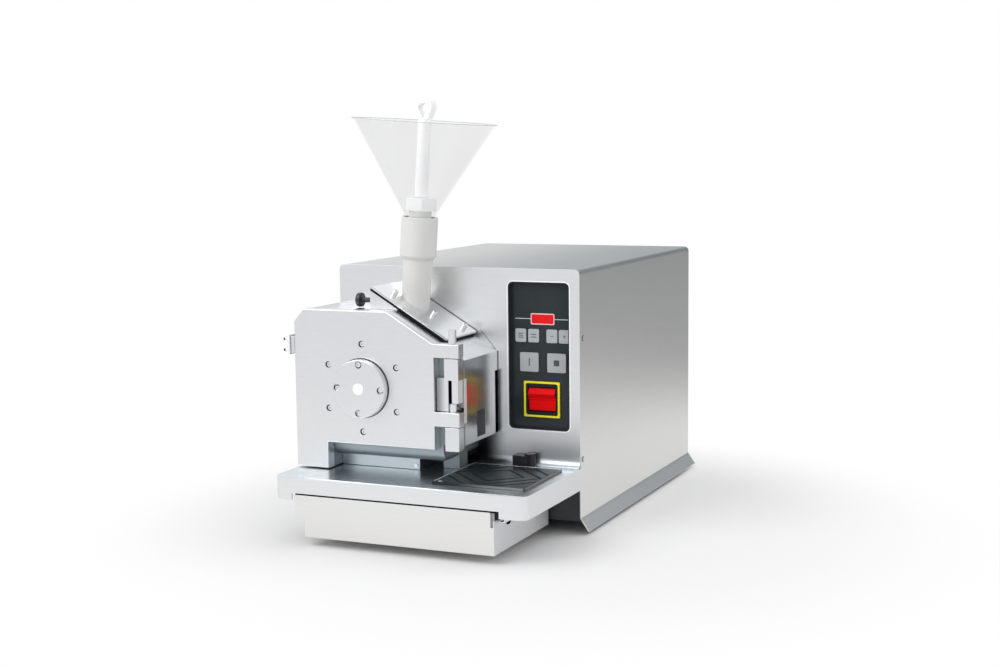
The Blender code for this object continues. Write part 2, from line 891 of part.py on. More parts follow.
# Chamber
def build_chamber():
    """Chamber body with its bore, outlet, feed hole, knife slots and hinge reliefs."""
    front = -chamber_depth
    top = chamber_top
    slope_top = upper_ear_top - chamber_drop
    left = chamber_left
    corner = barrel_corner
    outline = [(left, door_leg_low), (chamber_foot_right - touch, door_leg_low),
               (chamber_foot_right - touch, barrel_low)]
    outline += arc((barrel_right - corner, barrel_low + corner), corner, -90, 0)
    outline += [(barrel_right, wing_low), (wing_right, wing_low),
                (wing_right, slope_z(wing_right, slope_top)), (slope_x(top, slope_top), top),
                (door_left + door_chamfer_width, top),
                (left, door_top - door_chamfer_height + chamber_drop)]
    body = prism("chamber", outline, "y", front, -touch)
    join(body, box("stand", (stand_left, barrel_right), (-stand_front, -stand_back),
                   (table_height + touch, barrel_low + corner)))
    under = [(front - overrun, barrel_low - overrun), (front + barrel_round, barrel_low - overrun)]
    under += arc((front + barrel_round, barrel_low + barrel_round), barrel_round, -90, -180,
                 2 * corner_steps)
    under += [(front - overrun, barrel_low + barrel_round)]
    cut(body,
        prism("under_round", under, "x", chamber_foot_right - touch, barrel_right + overrun),
        prism("bore", circle((axis_x, axis_z), bore_radius), "y", front - overrun, -bore_back),
        prism("hub", circle((axis_x, axis_z), bearing_hub_radius + touch), "y",
              -bore_back - overrun, overrun),
        box("outlet", (axis_x - outlet_half_width, axis_x + outlet_half_width),
            (-outlet_front, -outlet_back), (barrel_low - overrun, axis_z - rotor_radius)),
        feed_cylinder("feed_hole", tube_root_radius + touch, -bore_radius, overrun),
        box("rear_notch", (wing_right - rear_notch_reach, wing_right + overrun),
            (-rear_notch_depth, overrun), (wing_low - overrun, rear_notch_top)),
        box("side_slot", (wing_right - side_slot_reach, wing_right + overrun),
            (-side_slot_front, -side_slot_back), (side_slot_low, side_slot_top)),
        bend_cutter(left - overrun, barrel_right))
    half = knife_thick / 2 + touch
    reach = bore_radius + knife_back_reach + touch
    cut(body, box("knife_slots", (axis_x - reach, axis_x + reach),
                  (front - overrun, -bore_back - touch), (axis_z - half, axis_z + half)))
    swing = math.hypot(ear_right - hinge_x, max(hinge_y + door_front, -door_back - hinge_y))
    for low, high in ((upper_ear_low, upper_ear_top), (lower_ear_low, lower_ear_top)):
        cut(body, cylinder("relief", swing + ear_swing_gap, low - knuckle_gap, high + overrun / 2,
                           (hinge_x, hinge_y, 0), (0, 0, 1)))
    return body


def build_knife(side):
    """A fixed knife in its slot, on one side of the rotor."""
    near = axis_x + side * (rotor_radius + rotor_gap)
    far = axis_x + side * (bore_radius + knife_back_reach)
    half = knife_thick / 2
    return box("knife", (min(near, far), max(near, far)),
               (-chamber_depth + knife_end_gap, -bore_back - 2 * touch), (axis_z - half, axis_z + half))


def build_sieve():
    """Curved sieve under the rotor."""
    outer = bore_radius - touch
    middle = math.degrees(-math.pi / 2)
    half = math.degrees(sieve_half_angle)
    steps = round_steps // 2
    outline = arc((axis_x, axis_z), outer, middle - half, middle + half, steps)
    outline += arc((axis_x, axis_z), outer - sieve_thick, middle + half, middle - half, steps)
    return prism("sieve", outline, "y", -chamber_depth + knife_end_gap, -bore_back - touch)


def build_chute():
    """Discharge chute between the chamber and the table."""
    low = table_height + touch
    high = barrel_low - touch
    chute = box("chute", (chamber_foot_right, chute_right), (-chute_front, -chute_back), (low, high))
    return cut(chute, box("passage", (axis_x - outlet_half_width, axis_x + outlet_half_width),
                          (-outlet_front, -outlet_back), (low - overrun, high + overrun)))


def build_upper_hinge():
    """Upper hinge block: knuckle, web and stop beside the door."""
    front = -door_front
    back = -chamber_depth - touch
    top = upper_ear_low - knuckle_gap
    low = top - upper_knuckle_height
    web_low = lower_ear_top + lower_pin_head_height + 2 * knuckle_gap
    block = box("hinge_block", (knuckle_left, wing_right), (front, back), (low, top))
    join(block, box("web", (web_left, wing_right - web_setback), (front + web_setback, back),
                    (web_low, low + sheet)),
         box("stop", (door_right + mid_block_gap, mid_block_right),
             (front + mid_block_setback, back - sheet), (lower_ear_top + knuckle_gap, low + sheet)),
         box("bridge", (mid_block_right - sheet, web_left + sheet),
             (front + 2 * mid_block_setback, back - 2 * sheet), (web_low + sheet, low + sheet)))
    return cut(block, cylinder("pin_hole", pin_radius + pin_gap, top - pin_reach - touch, top + overrun,
                               (hinge_x, hinge_y, 0), (0, 0, 1)))


def build_lower_hinge():
    """Lower hinge block."""
    top = lower_ear_low - knuckle_gap
    block = box("hinge_block", (knuckle_left, wing_right), (-door_front, -chamber_depth - touch),
                (top - lower_knuckle_height, top))
    return cut(block, cylinder("pin_hole", pin_radius + pin_gap, top - pin_reach - touch, top + overrun,
                               (hinge_x, hinge_y, 0), (0, 0, 1)))


# Door
def build_door():
    """Door plate with its ears, bearing bore and screw counterbores."""
    outline = [(door_left, door_leg_low), (door_leg_right, door_leg_low), (door_leg_right, door_low),
               (door_right, door_low), (door_right, lower_ear_low), (ear_right, lower_ear_low),
               (ear_right, lower_ear_top), (door_right, lower_ear_top), (door_right, upper_ear_low),
               (ear_right, upper_ear_low), (ear_right, upper_ear_top), (slope_foot_x, upper_ear_top),
               (slope_x(door_top), door_top), (door_left + door_chamfer_width, door_top),
               (door_left, door_top - door_chamfer_height)]
    plate = prism("door", outline, "y", -door_front, -door_back)
    cut(plate, prism("bearing_bore", circle((axis_x, axis_z), front_bearing_radius + touch), "y",
                     -door_front - overrun, -door_back + overrun))
    for index in range(door_screw_count):
        angle = math.radians(90) + 2 * math.pi * index / door_screw_count
        centre = (axis_x + door_screw_circle * math.cos(angle), axis_z + door_screw_circle * math.sin(angle))
        cut(plate, prism("counterbore", circle(centre, door_screw_radius, round_steps // 2), "y",
                         -door_front - overrun, -door_front + door_screw_depth))
    for low, high in ((upper_ear_low, upper_ear_top), (lower_ear_low, lower_ear_top)):
        cut(plate, cylinder("pin_hole", pin_radius + touch, low - overrun / 2, high + overrun / 2,
                            (hinge_x, hinge_y, 0), (0, 0, 1)))
    return plate


def build_pin(ear_low, ear_top, head_radius, head_height):
    """A headed hinge pin through an ear into the knuckle below."""
    tip = ear_low - knuckle_gap - pin_reach
    head = ear_top + touch
    profile = [(0, tip), (pin_radius, tip), (pin_radius, head), (head_radius, head),
               (head_radius, head + head_height), (0, head + head_height)]
    return turned("pin", profile, (hinge_x, hinge_y, 0), (0, 0, 1), round_steps * 3 // 4)


def build_front_bearing():
    """Bearing in the door that the rotor's stub runs in."""
    back = -door_back - touch
    front = back - front_bearing_length
    profile = [(front_bearing_bore, front), (front_bearing_radius, front), (front_bearing_radius, back),
               (front_bearing_bore, back)]
    return along_axis("front_bearing", profile)


def build_bearing_cover():
    """Bearing cover on the door's front face, with a spigot that holds the bearing."""
    back = -door_front - touch
    front = back - cover_disc_thick
    spigot = -door_back - front_bearing_length - 2 * touch
    profile = [(0, front), (cover_disc_radius - cover_disc_bevel, front),
               (cover_disc_radius, front + cover_disc_bevel), (cover_disc_radius, back),
               (front_bearing_radius, back), (front_bearing_radius, spigot), (0, spigot)]
    return along_axis("bearing_cover", profile, round_steps * 3 // 2)


def build_catch():
    """Catch on the door's left edge."""
    low = latch_low + catch_inset
    high = latch_low + latch_height - catch_inset
    front = -door_front + catch_setback
    return box("catch", (door_left - catch_reach, door_left - touch), (front, front + catch_depth),
               (low, high))


# Latch
def build_latch_bracket():
    """Clevis on the chamber's left side."""
    left = latch_pivot_x - latch_ear_reach
    right = chamber_left - touch
    y_range = (-latch_bracket_front, -latch_bracket_back)
    high = latch_low + latch_height
    bracket = box("latch_bracket", (left, right), y_range, (latch_low, high))
    return cut(bracket,
               box("gap", (left - overrun, right - latch_base_thick),
                   (y_range[0] - overrun, y_range[1] + overrun),
                   (latch_low + latch_ear_thick, high - latch_ear_thick)),
               cylinder("trunnion_hole", latch_trunnion_radius + touch, latch_low - overrun,
                        high + overrun, (latch_pivot_x, latch_pivot_y, 0), (0, 0, 1), round_steps // 2))


def build_latch_lever():
    """Latch lever with its knuckle, trunnions and two finger pegs."""
    inner_low = latch_low + latch_ear_thick + touch
    inner_high = latch_low + latch_height - latch_ear_thick - touch
    middle = latch_low + latch_height / 2
    arm = (latch_arm_outer, latch_arm_outer + latch_arm_thick)
    lever = box("lever", arm, (-latch_arm_front, -latch_arm_shoulder),
                (latch_low, latch_low + latch_height))
    join(lever, box("neck", arm, (-latch_arm_shoulder - sheet, latch_pivot_y),
                    (inner_low + sheet, inner_high - sheet)))
    at_pivot = ((latch_pivot_x, latch_pivot_y, 0), (0, 0, 1))
    join(lever, cylinder("knuckle", latch_knuckle_radius, inner_low, inner_high, *at_pivot,
                         round_steps // 2),
         cylinder("trunnions", latch_trunnion_radius, latch_low + touch,
                  latch_low + latch_height - touch, *at_pivot, round_steps // 2))
    for side in (-1, 1):
        origin = (latch_arm_outer, -latch_arm_front + peg_setback, middle + side * peg_offset)
        join(lever, cylinder("peg", peg_radius, -latch_arm_thick / 2, peg_length, origin, (-1, 0, 0),
                             round_steps // 2))
    return lever


# Feed
feed_origin = Vector((feed_x, feed_y, slope_z(feed_x)))
feed_direction = Vector((math.sin(feed_tilt), 0, math.cos(feed_tilt)))


def feed_cylinder(name, radius, low, high):
    """A cylinder along the feed axis."""
    return cylinder(name, radius, low, high, feed_origin, feed_direction)


def along_feed(name, profile, steps=round_steps):
    """A profile turned about the feed axis."""
    return turned(name, profile, feed_origin, feed_direction, steps)


def build_feed_block():
    """Wedge under the upper part of the feed plate."""
    low = chamber_top + touch
    outline = [(plate_left, low), (slope_x(low), low), (plate_left, slope_z(plate_left))]
    block = prism("feed_block", outline, "y", -plate_front, -plate_back)
    return cut(block, feed_cylinder("feed_hole", tube_root_radius + touch, -overrun, overrun))


def build_layer(low, high, hole_radius):
    """A layer on the sloped face, with a hole for the tube."""
    layer = prism("layer", slab(low, high), "y", -plate_front, -plate_back)
    return cut(layer, feed_cylinder("feed_hole", hole_radius, -overrun, 2 * overrun))


def build_feed_tube():
    """Feed tube with the collar that holds the funnel."""
    socket = collar_top - collar_socket_depth
    profile = [(tube_bore_radius, -tube_bottom), (tube_root_radius, -tube_bottom),
               (tube_root_radius, tube_bottom), (tube_neck_radius, collar_low - collar_slope),
               (collar_radius, collar_low + collar_slope / 2), (collar_radius, collar_top),
               (collar_socket_radius, collar_top), (collar_socket_radius, socket),
               (tube_bore_radius, socket)]
    return along_feed("feed_tube", profile)


def build_funnel():
    """Clear funnel whose spout stands in the collar."""
    spout = collar_socket_radius - touch
    spout_low = collar_top - collar_socket_depth + touch
    shoulder = collar_top + touch
    profile = [(spout - funnel_wall, spout_low), (spout, spout_low), (spout, shoulder),
               (funnel_neck_radius, shoulder), (funnel_neck_radius, funnel_neck_top),
               (funnel_rim_radius, funnel_top), (funnel_rim_radius + funnel_lip, funnel_top),
               (funnel_rim_radius + funnel_lip, funnel_top + funnel_wall),
               (funnel_rim_radius - funnel_wall, funnel_top + funnel_wall),
               (funnel_neck_radius - funnel_wall, funnel_neck_top),
               (spout - funnel_wall, shoulder)]
    return along_feed("funnel", profile, round_steps * 3 // 2)


def stop_low():
    """Where the plunger's stop meets the inside of the funnel's cone."""
    cone = (funnel_rim_radius - funnel_neck_radius) / (funnel_top - funnel_neck_top)
    wall = funnel_wall * math.hypot(1, cone)
    share = (stop_radius + wall + touch - funnel_neck_radius) / cone
    return funnel_neck_top + max(share, 0)


def build_plunger_stop():
    """Plunger body that fills the tube, with the lobed stop that rests in the funnel."""
    low = stop_low()
    points = []
    for step in range(stop_lobes * 6):
        angle = 2 * math.pi * step / (stop_lobes * 6)
        radius = stop_radius - stop_lobe_depth * (1 - math.cos(stop_lobes * angle)) / 2
        points.append((radius * math.cos(angle), radius * math.sin(angle)))
    stop = prism("stop", points, "z", low, low + stop_height)
    turn = Vector((0, 0, 1)).rotation_difference(feed_direction).to_matrix().to_4x4()
    stop.data.transform(Matrix.Translation(feed_origin) @ turn)
    return join(stop, feed_cylinder("plunger_body", plunger_radius, low - plunger_drop, low + sheet))


def build_plunger_rod():
    """Plunger rod with its ring handle."""
    low = stop_low() + stop_height + touch
    rod = feed_cylinder("rod", rod_radius, low, rod_top)
    centre = feed_origin + feed_direction * (rod_top + ring_radius - sheet)
    ring = cylinder("ring", ring_radius, -ring_thick / 2, ring_thick / 2, centre, (0, 1, 0))
    join(rod, ring)
    return cut(rod, cylinder("ring_hole", ring_hole_radius, -overrun, overrun, centre, (0, 1, 0)))


knob_axis_z = chamber_top + knob_lift + knob_radius


def build_knob():
    """Lock knob on its stud beside the feed block."""
    origin = (plate_left - touch, knob_y, knob_axis_z)
    profile = [(0, 0), (knob_stud_radius, 0), (knob_stud_radius, knob_gap), (knob_radius, knob_gap),
               (knob_radius, knob_gap + knob_thick), (0, knob_gap + knob_thick)]
    return turned("knob", profile, origin, (-1, 0, 0))


# Table fittings
def build_tray():
    """Shallow drip tray on the table."""
    low = table_height + touch
    x_range = (tray_left, tray_right)
    tray = box("tray", x_range, (-tray_front, -tray_back), (low, low + tray_height))
    return cut(tray, box("pocket", (tray_left + tray_wall, tray_right - tray_wall),
                         (-tray_front + tray_wall, -tray_back - tray_wall),
                         (low + tray_floor, low + tray_height + overrun)))


def build_mat():
    """Rubber mat in the drip tray."""
    low = table_height + 2 * touch + tray_floor
    inset = tray_wall + touch
    return box("mat", (tray_left + inset, tray_right - inset), (-tray_front + inset, -tray_back - inset),
               (low, low + mat_thick))


def build_interlock():
    """Safety switch block on the table."""
    low = table_height + touch
    post_x = interlock_left + interlock_width / 2 + interlock_post_offset
    block = box("interlock", (interlock_left, interlock_left + interlock_width),
                (-interlock_front, -interlock_back), (low, low + interlock_height))
    join(block, cylinder("post", interlock_post_radius, low, low + interlock_post_height,
                         (post_x, interlock_post_y, 0), (0, 0, 1)))
    return cut(block, bend_cutter(interlock_left - overrun, post_x + 2 * interlock_post_radius))


def build_drawer():
    """Collecting drawer, bent from sheet, with a taller front and rail flanges."""
    front = -drawer_front
    back = -drawer_back
    drawer = box("drawer", (drawer_left, drawer_right), (front, back), (drawer_low, drawer_side_top))
    join(drawer, box("face", (drawer_left, drawer_right), (front, front + sheet),
                     (drawer_low, drawer_face_top)))
    join(drawer, box("wing", (drawer_wing_left, drawer_left + sheet), (front, front + sheet),
                     (drawer_wing_low, drawer_face_top)))
    join(drawer, box("flanges", (drawer_left - drawer_flange, drawer_right + drawer_flange),
                     (-drawer_flange_front, back), (drawer_side_top - sheet, drawer_side_top)))
    cut(drawer, box("inside", (drawer_left + sheet, drawer_right - sheet), (front + sheet, back - sheet),
                    (drawer_low + sheet, drawer_side_top + overrun)))
    cut(drawer, box("relief", (drawer_right - drawer_relief_width, drawer_right + overrun),
                    (front - overrun, front + sheet), (drawer_relief_low, drawer_face_top + overrun)))
    return cut(drawer, cylinder("finger_notch", finger_radius, -overrun / 2, overrun,
                                (drawer_right, finger_y, drawer_side_top), (1, 0, 0)))


def build_rail(side):
    """An angle rail under the table, on one side of the drawer."""
    top = table_height - sheet - touch
    ledge = drawer_side_top - sheet - touch
    if side < 0:
        outer = drawer_left - drawer_flange - touch
        path = [(outer, top), (outer, ledge - sheet), (outer + rail_overlap, ledge - sheet)]
    else:
        outer = drawer_right + drawer_flange + touch
        path = [(outer - rail_overlap, ledge - sheet), (outer, ledge - sheet), (outer, top)]
    shift = -sheet if side < 0 else sheet
    outline = [(x + shift, z) for x, z in path]
    return prism("rail", ribbon(outline, sheet), "y", -rail_front, -rail_back)


# Keypad and main switch
def key_solid(left, low, width, height):
    """A key that stands proud of the keypad's floor."""
    front = keypad_recess - key_proud
    back = keypad_recess + key_sink
    return box("key", (left, left + width), (front, back), (low, low + height))


def key_pocket(left, low, width, height):
    """The pocket that a key travels in."""
    deep = keypad_recess + key_sink + key_travel + touch
    return box("pocket", (left - touch, left + width + touch), (keypad_recess - overrun, deep),
               (low - touch, low + height + touch))


def key_places():
    """Name, left, low, width and height of each key."""
    places = []
    for index, offset in enumerate(small_key_offsets):
        places.append((f"key_small_{index + 1}", keypad_left + offset, small_key_low, small_key_width,
                       small_key_height))
    for name, offset in zip(("key_start", "key_stop"), large_key_offsets):
        places.append((name, keypad_left + offset, large_key_low, large_key_width, large_key_height))
    return places


def build_keypad():
    """Recessed keypad pan with a flange behind the front panel and bosses for the board."""
    left = keypad_left + touch
    right = keypad_left + keypad_width - touch
    low = keypad_low + touch
    high = keypad_low + keypad_height - touch
    deep = keypad_recess + keypad_floor
    pan = prism("keypad", rectangle(left, right, low, high, keypad_corner - touch), "y", touch, deep)
    flange = rectangle(left - keypad_flange, right + keypad_flange, low - keypad_flange,
                       high + keypad_flange, keypad_corner)
    join(pan, prism("flange", flange, "y", sheet + touch, 2 * sheet + touch))
    for x in (left + boss_inset, right - boss_inset):
        for z in (large_key_low + boss_inset, high - boss_inset):
            join(pan, cylinder("boss", boss_radius, deep - sheet / 2, deep + board_gap,
                               (x, 0, z), (0, 1, 0), round_steps // 2))
    inside = rectangle(left + keypad_wall, right - keypad_wall, low + keypad_wall, high - keypad_wall,
                       keypad_corner - keypad_wall)
    cut(pan, prism("inside", inside, "y", -overrun, keypad_recess))
    for _, key_left, key_low, width, height in key_places():
        cut(pan, key_pocket(key_left, key_low, width, height))
    half_width = switch_width / 2 - switch_rim + touch
    half_height = switch_height / 2 - switch_rim + touch
    return cut(pan, box("switch_hole", (switch_x - half_width, switch_x + half_width),
                        (-overrun, deep + overrun), (switch_z - half_height, switch_z + half_height)))


def build_display():
    """Display window on the keypad's floor."""
    back = keypad_recess - touch
    return box("display", (display_left, display_left + display_width), (back - display_proud, back),
               (display_low, display_low + display_height))


def build_board():
    """Control board on the keypad's bosses."""
    front = keypad_recess + keypad_floor + board_gap + touch
    return box("board", (keypad_left + board_margin, keypad_left + keypad_width - board_margin),
               (front, front + board_thick), (large_key_low - board_margin,
                                              keypad_low + keypad_height - board_margin))


def build_switch_frame():
    """Switch frame with the sleeve that holds the rocker."""
    back = keypad_recess - touch
    half_width = switch_width / 2
    half_height = switch_height / 2
    frame = box("switch_frame", (switch_x - half_width, switch_x + half_width),
                (back - switch_proud, back), (switch_z - half_height, switch_z + half_height))
    half_width -= switch_rim
    half_height -= switch_rim
    join(frame, box("sleeve", (switch_x - half_width, switch_x + half_width),
                    (back - switch_proud / 2, back + switch_depth),
                    (switch_z - half_height, switch_z + half_height)))
    half_width = rocker_width / 2 + touch
    half_height = rocker_height / 2 + rocker_swing_gap
    cut(frame, box("well", (switch_x - half_width, switch_x + half_width),
                   (-overrun, back + switch_depth - switch_wall),
                   (switch_z - half_height, switch_z + half_height)))
    reach = rocker_width / 2 + rocker_pin_length + touch
    return cut(frame, cylinder("pin_hole", rocker_pin_radius + touch, -reach, reach,
                               (switch_x, keypad_recess, switch_z), (1, 0, 0), round_steps // 2))


def build_rocker():
    """Rocker with a ridge on its upper half and two pins on its hinge axis."""
    half = rocker_height / 2
    front = keypad_recess - rocker_face_proud
    back = keypad_recess + rocker_depth
    outline = [(front, switch_z - half), (back, switch_z - half / 2), (back, switch_z + half / 2),
               (front, switch_z + half),
               (keypad_recess - rocker_ridge_proud, switch_z + rocker_ridge_height), (front, switch_z)]
    rocker = prism("rocker", outline, "x", switch_x - rocker_width / 2, switch_x + rocker_width / 2)
    reach = rocker_width / 2 + rocker_pin_length
    return join(rocker, cylinder("pins", rocker_pin_radius, -reach, reach,
                                 (switch_x, keypad_recess, switch_z), (1, 0, 0), round_steps // 2))


# Assembly
def clear_scene():
    """Remove every object of the open scene."""
    for old in list(bpy.data.objects):
        bpy.data.objects.remove(old)


def build_fixed(mill):
    """Every piece that stays still."""
    still = (mill, (0, 0, 0))
    finish(build_cover(), "housing_cover", "brushed_steel", *still)
    finish(build_front_panel(), "front_panel", "satin_steel", *still)
    finish(build_base(), "base_plate", "dark_sheet", *still)
    finish(build_rear_panel(), "rear_panel", "brushed_steel", *still)
    finish(build_inlet(), "mains_inlet", "black_plastic", *still)
    places = [(foot_inset_x, foot_inset_front), (housing_width - foot_inset_x, foot_inset_front),
              (foot_inset_x, housing_depth - foot_inset_rear),
              (housing_width - foot_inset_x, housing_depth - foot_inset_rear)]
    for index, (x, y) in enumerate(places):
        finish(build_foot(x, y), f"foot_{index + 1}", "black_rubber", *still)
    finish(build_chassis(), "chassis_plate", "tool_steel", *still)
    finish(build_bearing_housing(), "rear_bearing_housing", "tool_steel", *still)
    first = bearing_setback + touch - bearing_hub_front
    second = bearing_hub_back - bearing_setback - bearing_length
    for index, start in enumerate((first, second)):
        finish(build_rear_bearing(start), f"rear_bearing_{index + 1}", "polished_steel", *still)
    finish(build_motor(), "drive_motor", "cast_metal", *still)
    finish(build_bracket(), "motor_bracket", "tool_steel", *still)
    finish(build_inverter(), "inverter_box", "case_plastic", *still)
    finish(build_chamber(), "chamber_body", "machined_plate", *still)
    for name, side in (("fixed_knife_left", -1), ("fixed_knife_right", 1)):
        finish(build_knife(side), name, "tool_steel", *still)
    finish(build_sieve(), "sieve", "polished_steel", *still)
    finish(build_chute(), "discharge_chute", "satin_steel", *still)
    finish(build_upper_hinge(), "hinge_block_upper", "machined_plate", *still)
    finish(build_lower_hinge(), "hinge_block_lower", "machined_plate", *still)
    finish(build_latch_bracket(), "latch_bracket", "machined_plate", *still)
    finish(build_feed_block(), "feed_block", "machined_plate", *still)
    finish(build_layer(touch, touch + seal_thick, tube_root_radius + touch), "plate_seal",
           "black_rubber", *still)
    plate_low = 2 * touch + seal_thick
    finish(build_layer(plate_low, plate_low + plate_thick, tube_root_radius + touch), "funnel_plate",
           "polished_steel", *still)
    finish(build_feed_tube(), "feed_tube", "cream_plastic", *still)
    finish(build_tray(), "drip_tray", "satin_steel", *still)
    finish(build_mat(), "drip_mat", "black_rubber", *still)
    finish(build_interlock(), "interlock_switch", "black_plastic", *still)
    for name, side in (("drawer_rail_left", -1), ("drawer_rail_right", 1)):
        finish(build_rail(side), name, "satin_steel", *still)
    finish(build_keypad(), "keypad_panel", "black_plastic", *still)
    finish(build_display(), "display_window", "red_display", *still)
    finish(build_board(), "control_board", "board_green", *still)
    finish(build_switch_frame(), "switch_frame", "yellow_plastic", *still)


def build_moving(mill):
    """Every moving piece, on an empty at its joint's axis."""
    place = (axis_x, -chamber_depth / 2, axis_z)
    rotor = (pivot("rotor_axis", place, mill), place)
    finish(build_rotor_shaft(), "rotor_shaft", "tool_steel", *rotor)
    finish(build_cutting_rotor(), "cutting_rotor", "tool_steel", *rotor)
    finish(build_coupling_hub(), "coupling_hub", "cast_metal", *rotor)
    finish(build_motor_shaft(), "motor_shaft", "tool_steel", *rotor)
    place = (hinge_x, hinge_y, (lower_ear_low + upper_ear_top) / 2)
    door = (pivot("door_axis", place, mill), place)
    finish(build_door(), "door_plate", "machined_plate", *door)
    finish(build_bearing_cover(), "bearing_cover", "machined_plate", *door)
    finish(build_front_bearing(), "front_bearing", "polished_steel", *door)
    finish(build_catch(), "latch_catch", "machined_plate", *door)
    finish(build_pin(upper_ear_low, upper_ear_top, upper_pin_head_radius, upper_pin_head_height),
           "hinge_pin_upper", "polished_steel", *door)
    finish(build_pin(lower_ear_low, lower_ear_top, lower_pin_head_radius, lower_pin_head_height),
           "hinge_pin_lower", "polished_steel", *door)
    place = (latch_pivot_x, latch_pivot_y, latch_low + latch_height / 2)
    finish(build_latch_lever(), "latch_lever", "polished_steel", pivot("latch_axis", place, mill), place)
    place = tuple(feed_origin + feed_direction * collar_top)
    funnel = (pivot("funnel_axis", place, mill), place)
    finish(build_funnel(), "funnel", "clear_plastic", *funnel)
    plunger = (pivot("plunger_axis", (0, 0, 0), funnel[0]), place)
    finish(build_plunger_rod(), "plunger_rod", "white_plastic", *plunger)
    finish(build_plunger_stop(), "plunger_stop", "white_plastic", *plunger)
    place = (plate_left, knob_y, knob_axis_z)
    finish(build_knob(), "lock_knob", "black_plastic", pivot("knob_axis", place, mill), place)
    place = (axis_x, -drawer_front, drawer_low)
    finish(build_drawer(), "drawer_tray", "satin_steel", pivot("drawer_axis", place, mill), place)
    place = (switch_x, keypad_recess, switch_z)
    finish(build_rocker(), "power_rocker", "red_plastic", pivot("rocker_axis", place, mill), place)
    for name, left, low, width, height in key_places():
        place = (left + width / 2, keypad_recess, low + height / 2)
        axis = pivot(f"{name}_axis", place, mill)
        finish(key_solid(left, low, width, height), name, "grey_key", axis, place)


def main():
    """Build the mill."""
    clear_scene()
    mill = pivot("mill", (-middle_x, -middle_y, 0), None)
    build_fixed(mill)
    build_moving(mill)
    bpy.context.view_layer.update()


main()
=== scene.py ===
# Bench cutting mill: finishes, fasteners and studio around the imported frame. Metres, +Z up.
import json
from math import atan2, cos, hypot, pi, radians, sin

import bmesh
import bpy
from mathutils import Matrix, Vector


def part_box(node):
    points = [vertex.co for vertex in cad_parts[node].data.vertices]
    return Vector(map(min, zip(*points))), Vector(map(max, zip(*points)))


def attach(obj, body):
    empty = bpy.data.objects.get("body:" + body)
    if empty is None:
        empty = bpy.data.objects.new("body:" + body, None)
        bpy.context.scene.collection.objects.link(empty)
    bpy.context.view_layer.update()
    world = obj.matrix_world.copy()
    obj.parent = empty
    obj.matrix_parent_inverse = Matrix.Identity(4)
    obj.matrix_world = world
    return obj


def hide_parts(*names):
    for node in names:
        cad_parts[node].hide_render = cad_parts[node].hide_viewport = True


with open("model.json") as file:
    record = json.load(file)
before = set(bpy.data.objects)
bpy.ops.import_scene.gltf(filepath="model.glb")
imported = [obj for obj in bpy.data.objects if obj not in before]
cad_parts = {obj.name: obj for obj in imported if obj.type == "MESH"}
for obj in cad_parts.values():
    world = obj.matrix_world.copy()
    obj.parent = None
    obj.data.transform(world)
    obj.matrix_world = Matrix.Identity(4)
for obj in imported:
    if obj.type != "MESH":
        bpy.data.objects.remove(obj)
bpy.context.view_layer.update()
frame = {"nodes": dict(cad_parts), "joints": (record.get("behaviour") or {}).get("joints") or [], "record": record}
cadNodes = frame["nodes"]
joints = {joint["name"]: joint for joint in frame["joints"]}
slots = {part["node"]: part["material_slot"] for part in frame["record"]["subparts"]}
print("frame loaded:", len(cadNodes), "nodes")


# Shader sums
class Signal:  # an output socket that can stand in a sum
    def __init__(self, sheet, socket):
        self.sheet = sheet
        self.socket = socket

    def math(self, operation, first, second):
        return self.sheet.node("ShaderNodeMath", {"operation": operation}, {0: first, 1: second})

    def __add__(self, other):
        return self.math("ADD", self, other)

    def __radd__(self, other):
        return self.math("ADD", other, self)

    def __sub__(self, other):
        return self.math("SUBTRACT", self, other)

    def __rsub__(self, other):
        return self.math("SUBTRACT", other, self)

    def __mul__(self, other):
        return self.math("MULTIPLY", self, other)


class Sheet:  # a node tree, of a material or of the world
    def __init__(self, tree):
        self.tree = tree

    def node(self, kind, settings=None, sockets=None, out=0):
        made = self.tree.nodes.new(kind)
        for name, value in (settings or {}).items():
            setattr(made, name, value)
        for key, value in (sockets or {}).items():
            self.feed(made.inputs[key], value)
        return Signal(self, made.outputs[out]) if made.outputs else None

    def feed(self, socket, value):
        if isinstance(value, Signal):
            self.tree.links.new(value.socket, socket)
        else:
            socket.default_value = value

    def mix(self, factor, first, second):
        return self.node("ShaderNodeMix", {"data_type": "RGBA"}, {0: factor, 6: first, 7: second}, 2)

    def ramp(self, value, low, high):  # 0 to 1 between two values, eased
        return self.node("ShaderNodeMapRange", {"interpolation_type": "SMOOTHSTEP"},
                         {0: value, 1: low, 2: high})

    def place(self, stretch=(1, 1, 1)):  # object coordinates, stretched
        spot = self.node("ShaderNodeTexCoord", out=3)
        return self.node("ShaderNodeMapping", None, {"Vector": spot, "Scale": stretch})

    def axis(self, index):  # one object coordinate: 0 across, 1 along, 2 up
        return self.node("ShaderNodeSeparateXYZ", None, {0: self.place()}, index)

    def noise(self, scale, stretch=(1, 1, 1), detail=3.0):
        return self.node("ShaderNodeTexNoise", None,
                         {"Vector": self.place(stretch), "Scale": scale, "Detail": detail})

    def bump(self, height, depth, strength=1.0):
        return self.node("ShaderNodeBump", None,
                         {"Height": height, "Distance": depth, "Strength": strength})


class Finish(Sheet):  # a material built round one Principled shader
    def __init__(self, name):
        self.material = bpy.data.materials.new(name)
        self.material.use_nodes = True
        super().__init__(self.material.node_tree)
        self.shader = self.tree.nodes["Principled BSDF"]

    def give(self, sockets):
        for name, value in sockets.items():
            self.feed(self.shader.inputs[name], value)
        return self.material

    def metal(self, tone, rough, lines=None):
        if lines:  # a faint relief along the grain
            self.give({"Normal": self.bump(lines, steelMarks["relief"], steelMarks["reliefStrength"])})
        return self.give({"Base Color": tone, "Metallic": 1.0, "Roughness": rough})


def rgb(red, green, blue):
    return (red, green, blue, 1.0)


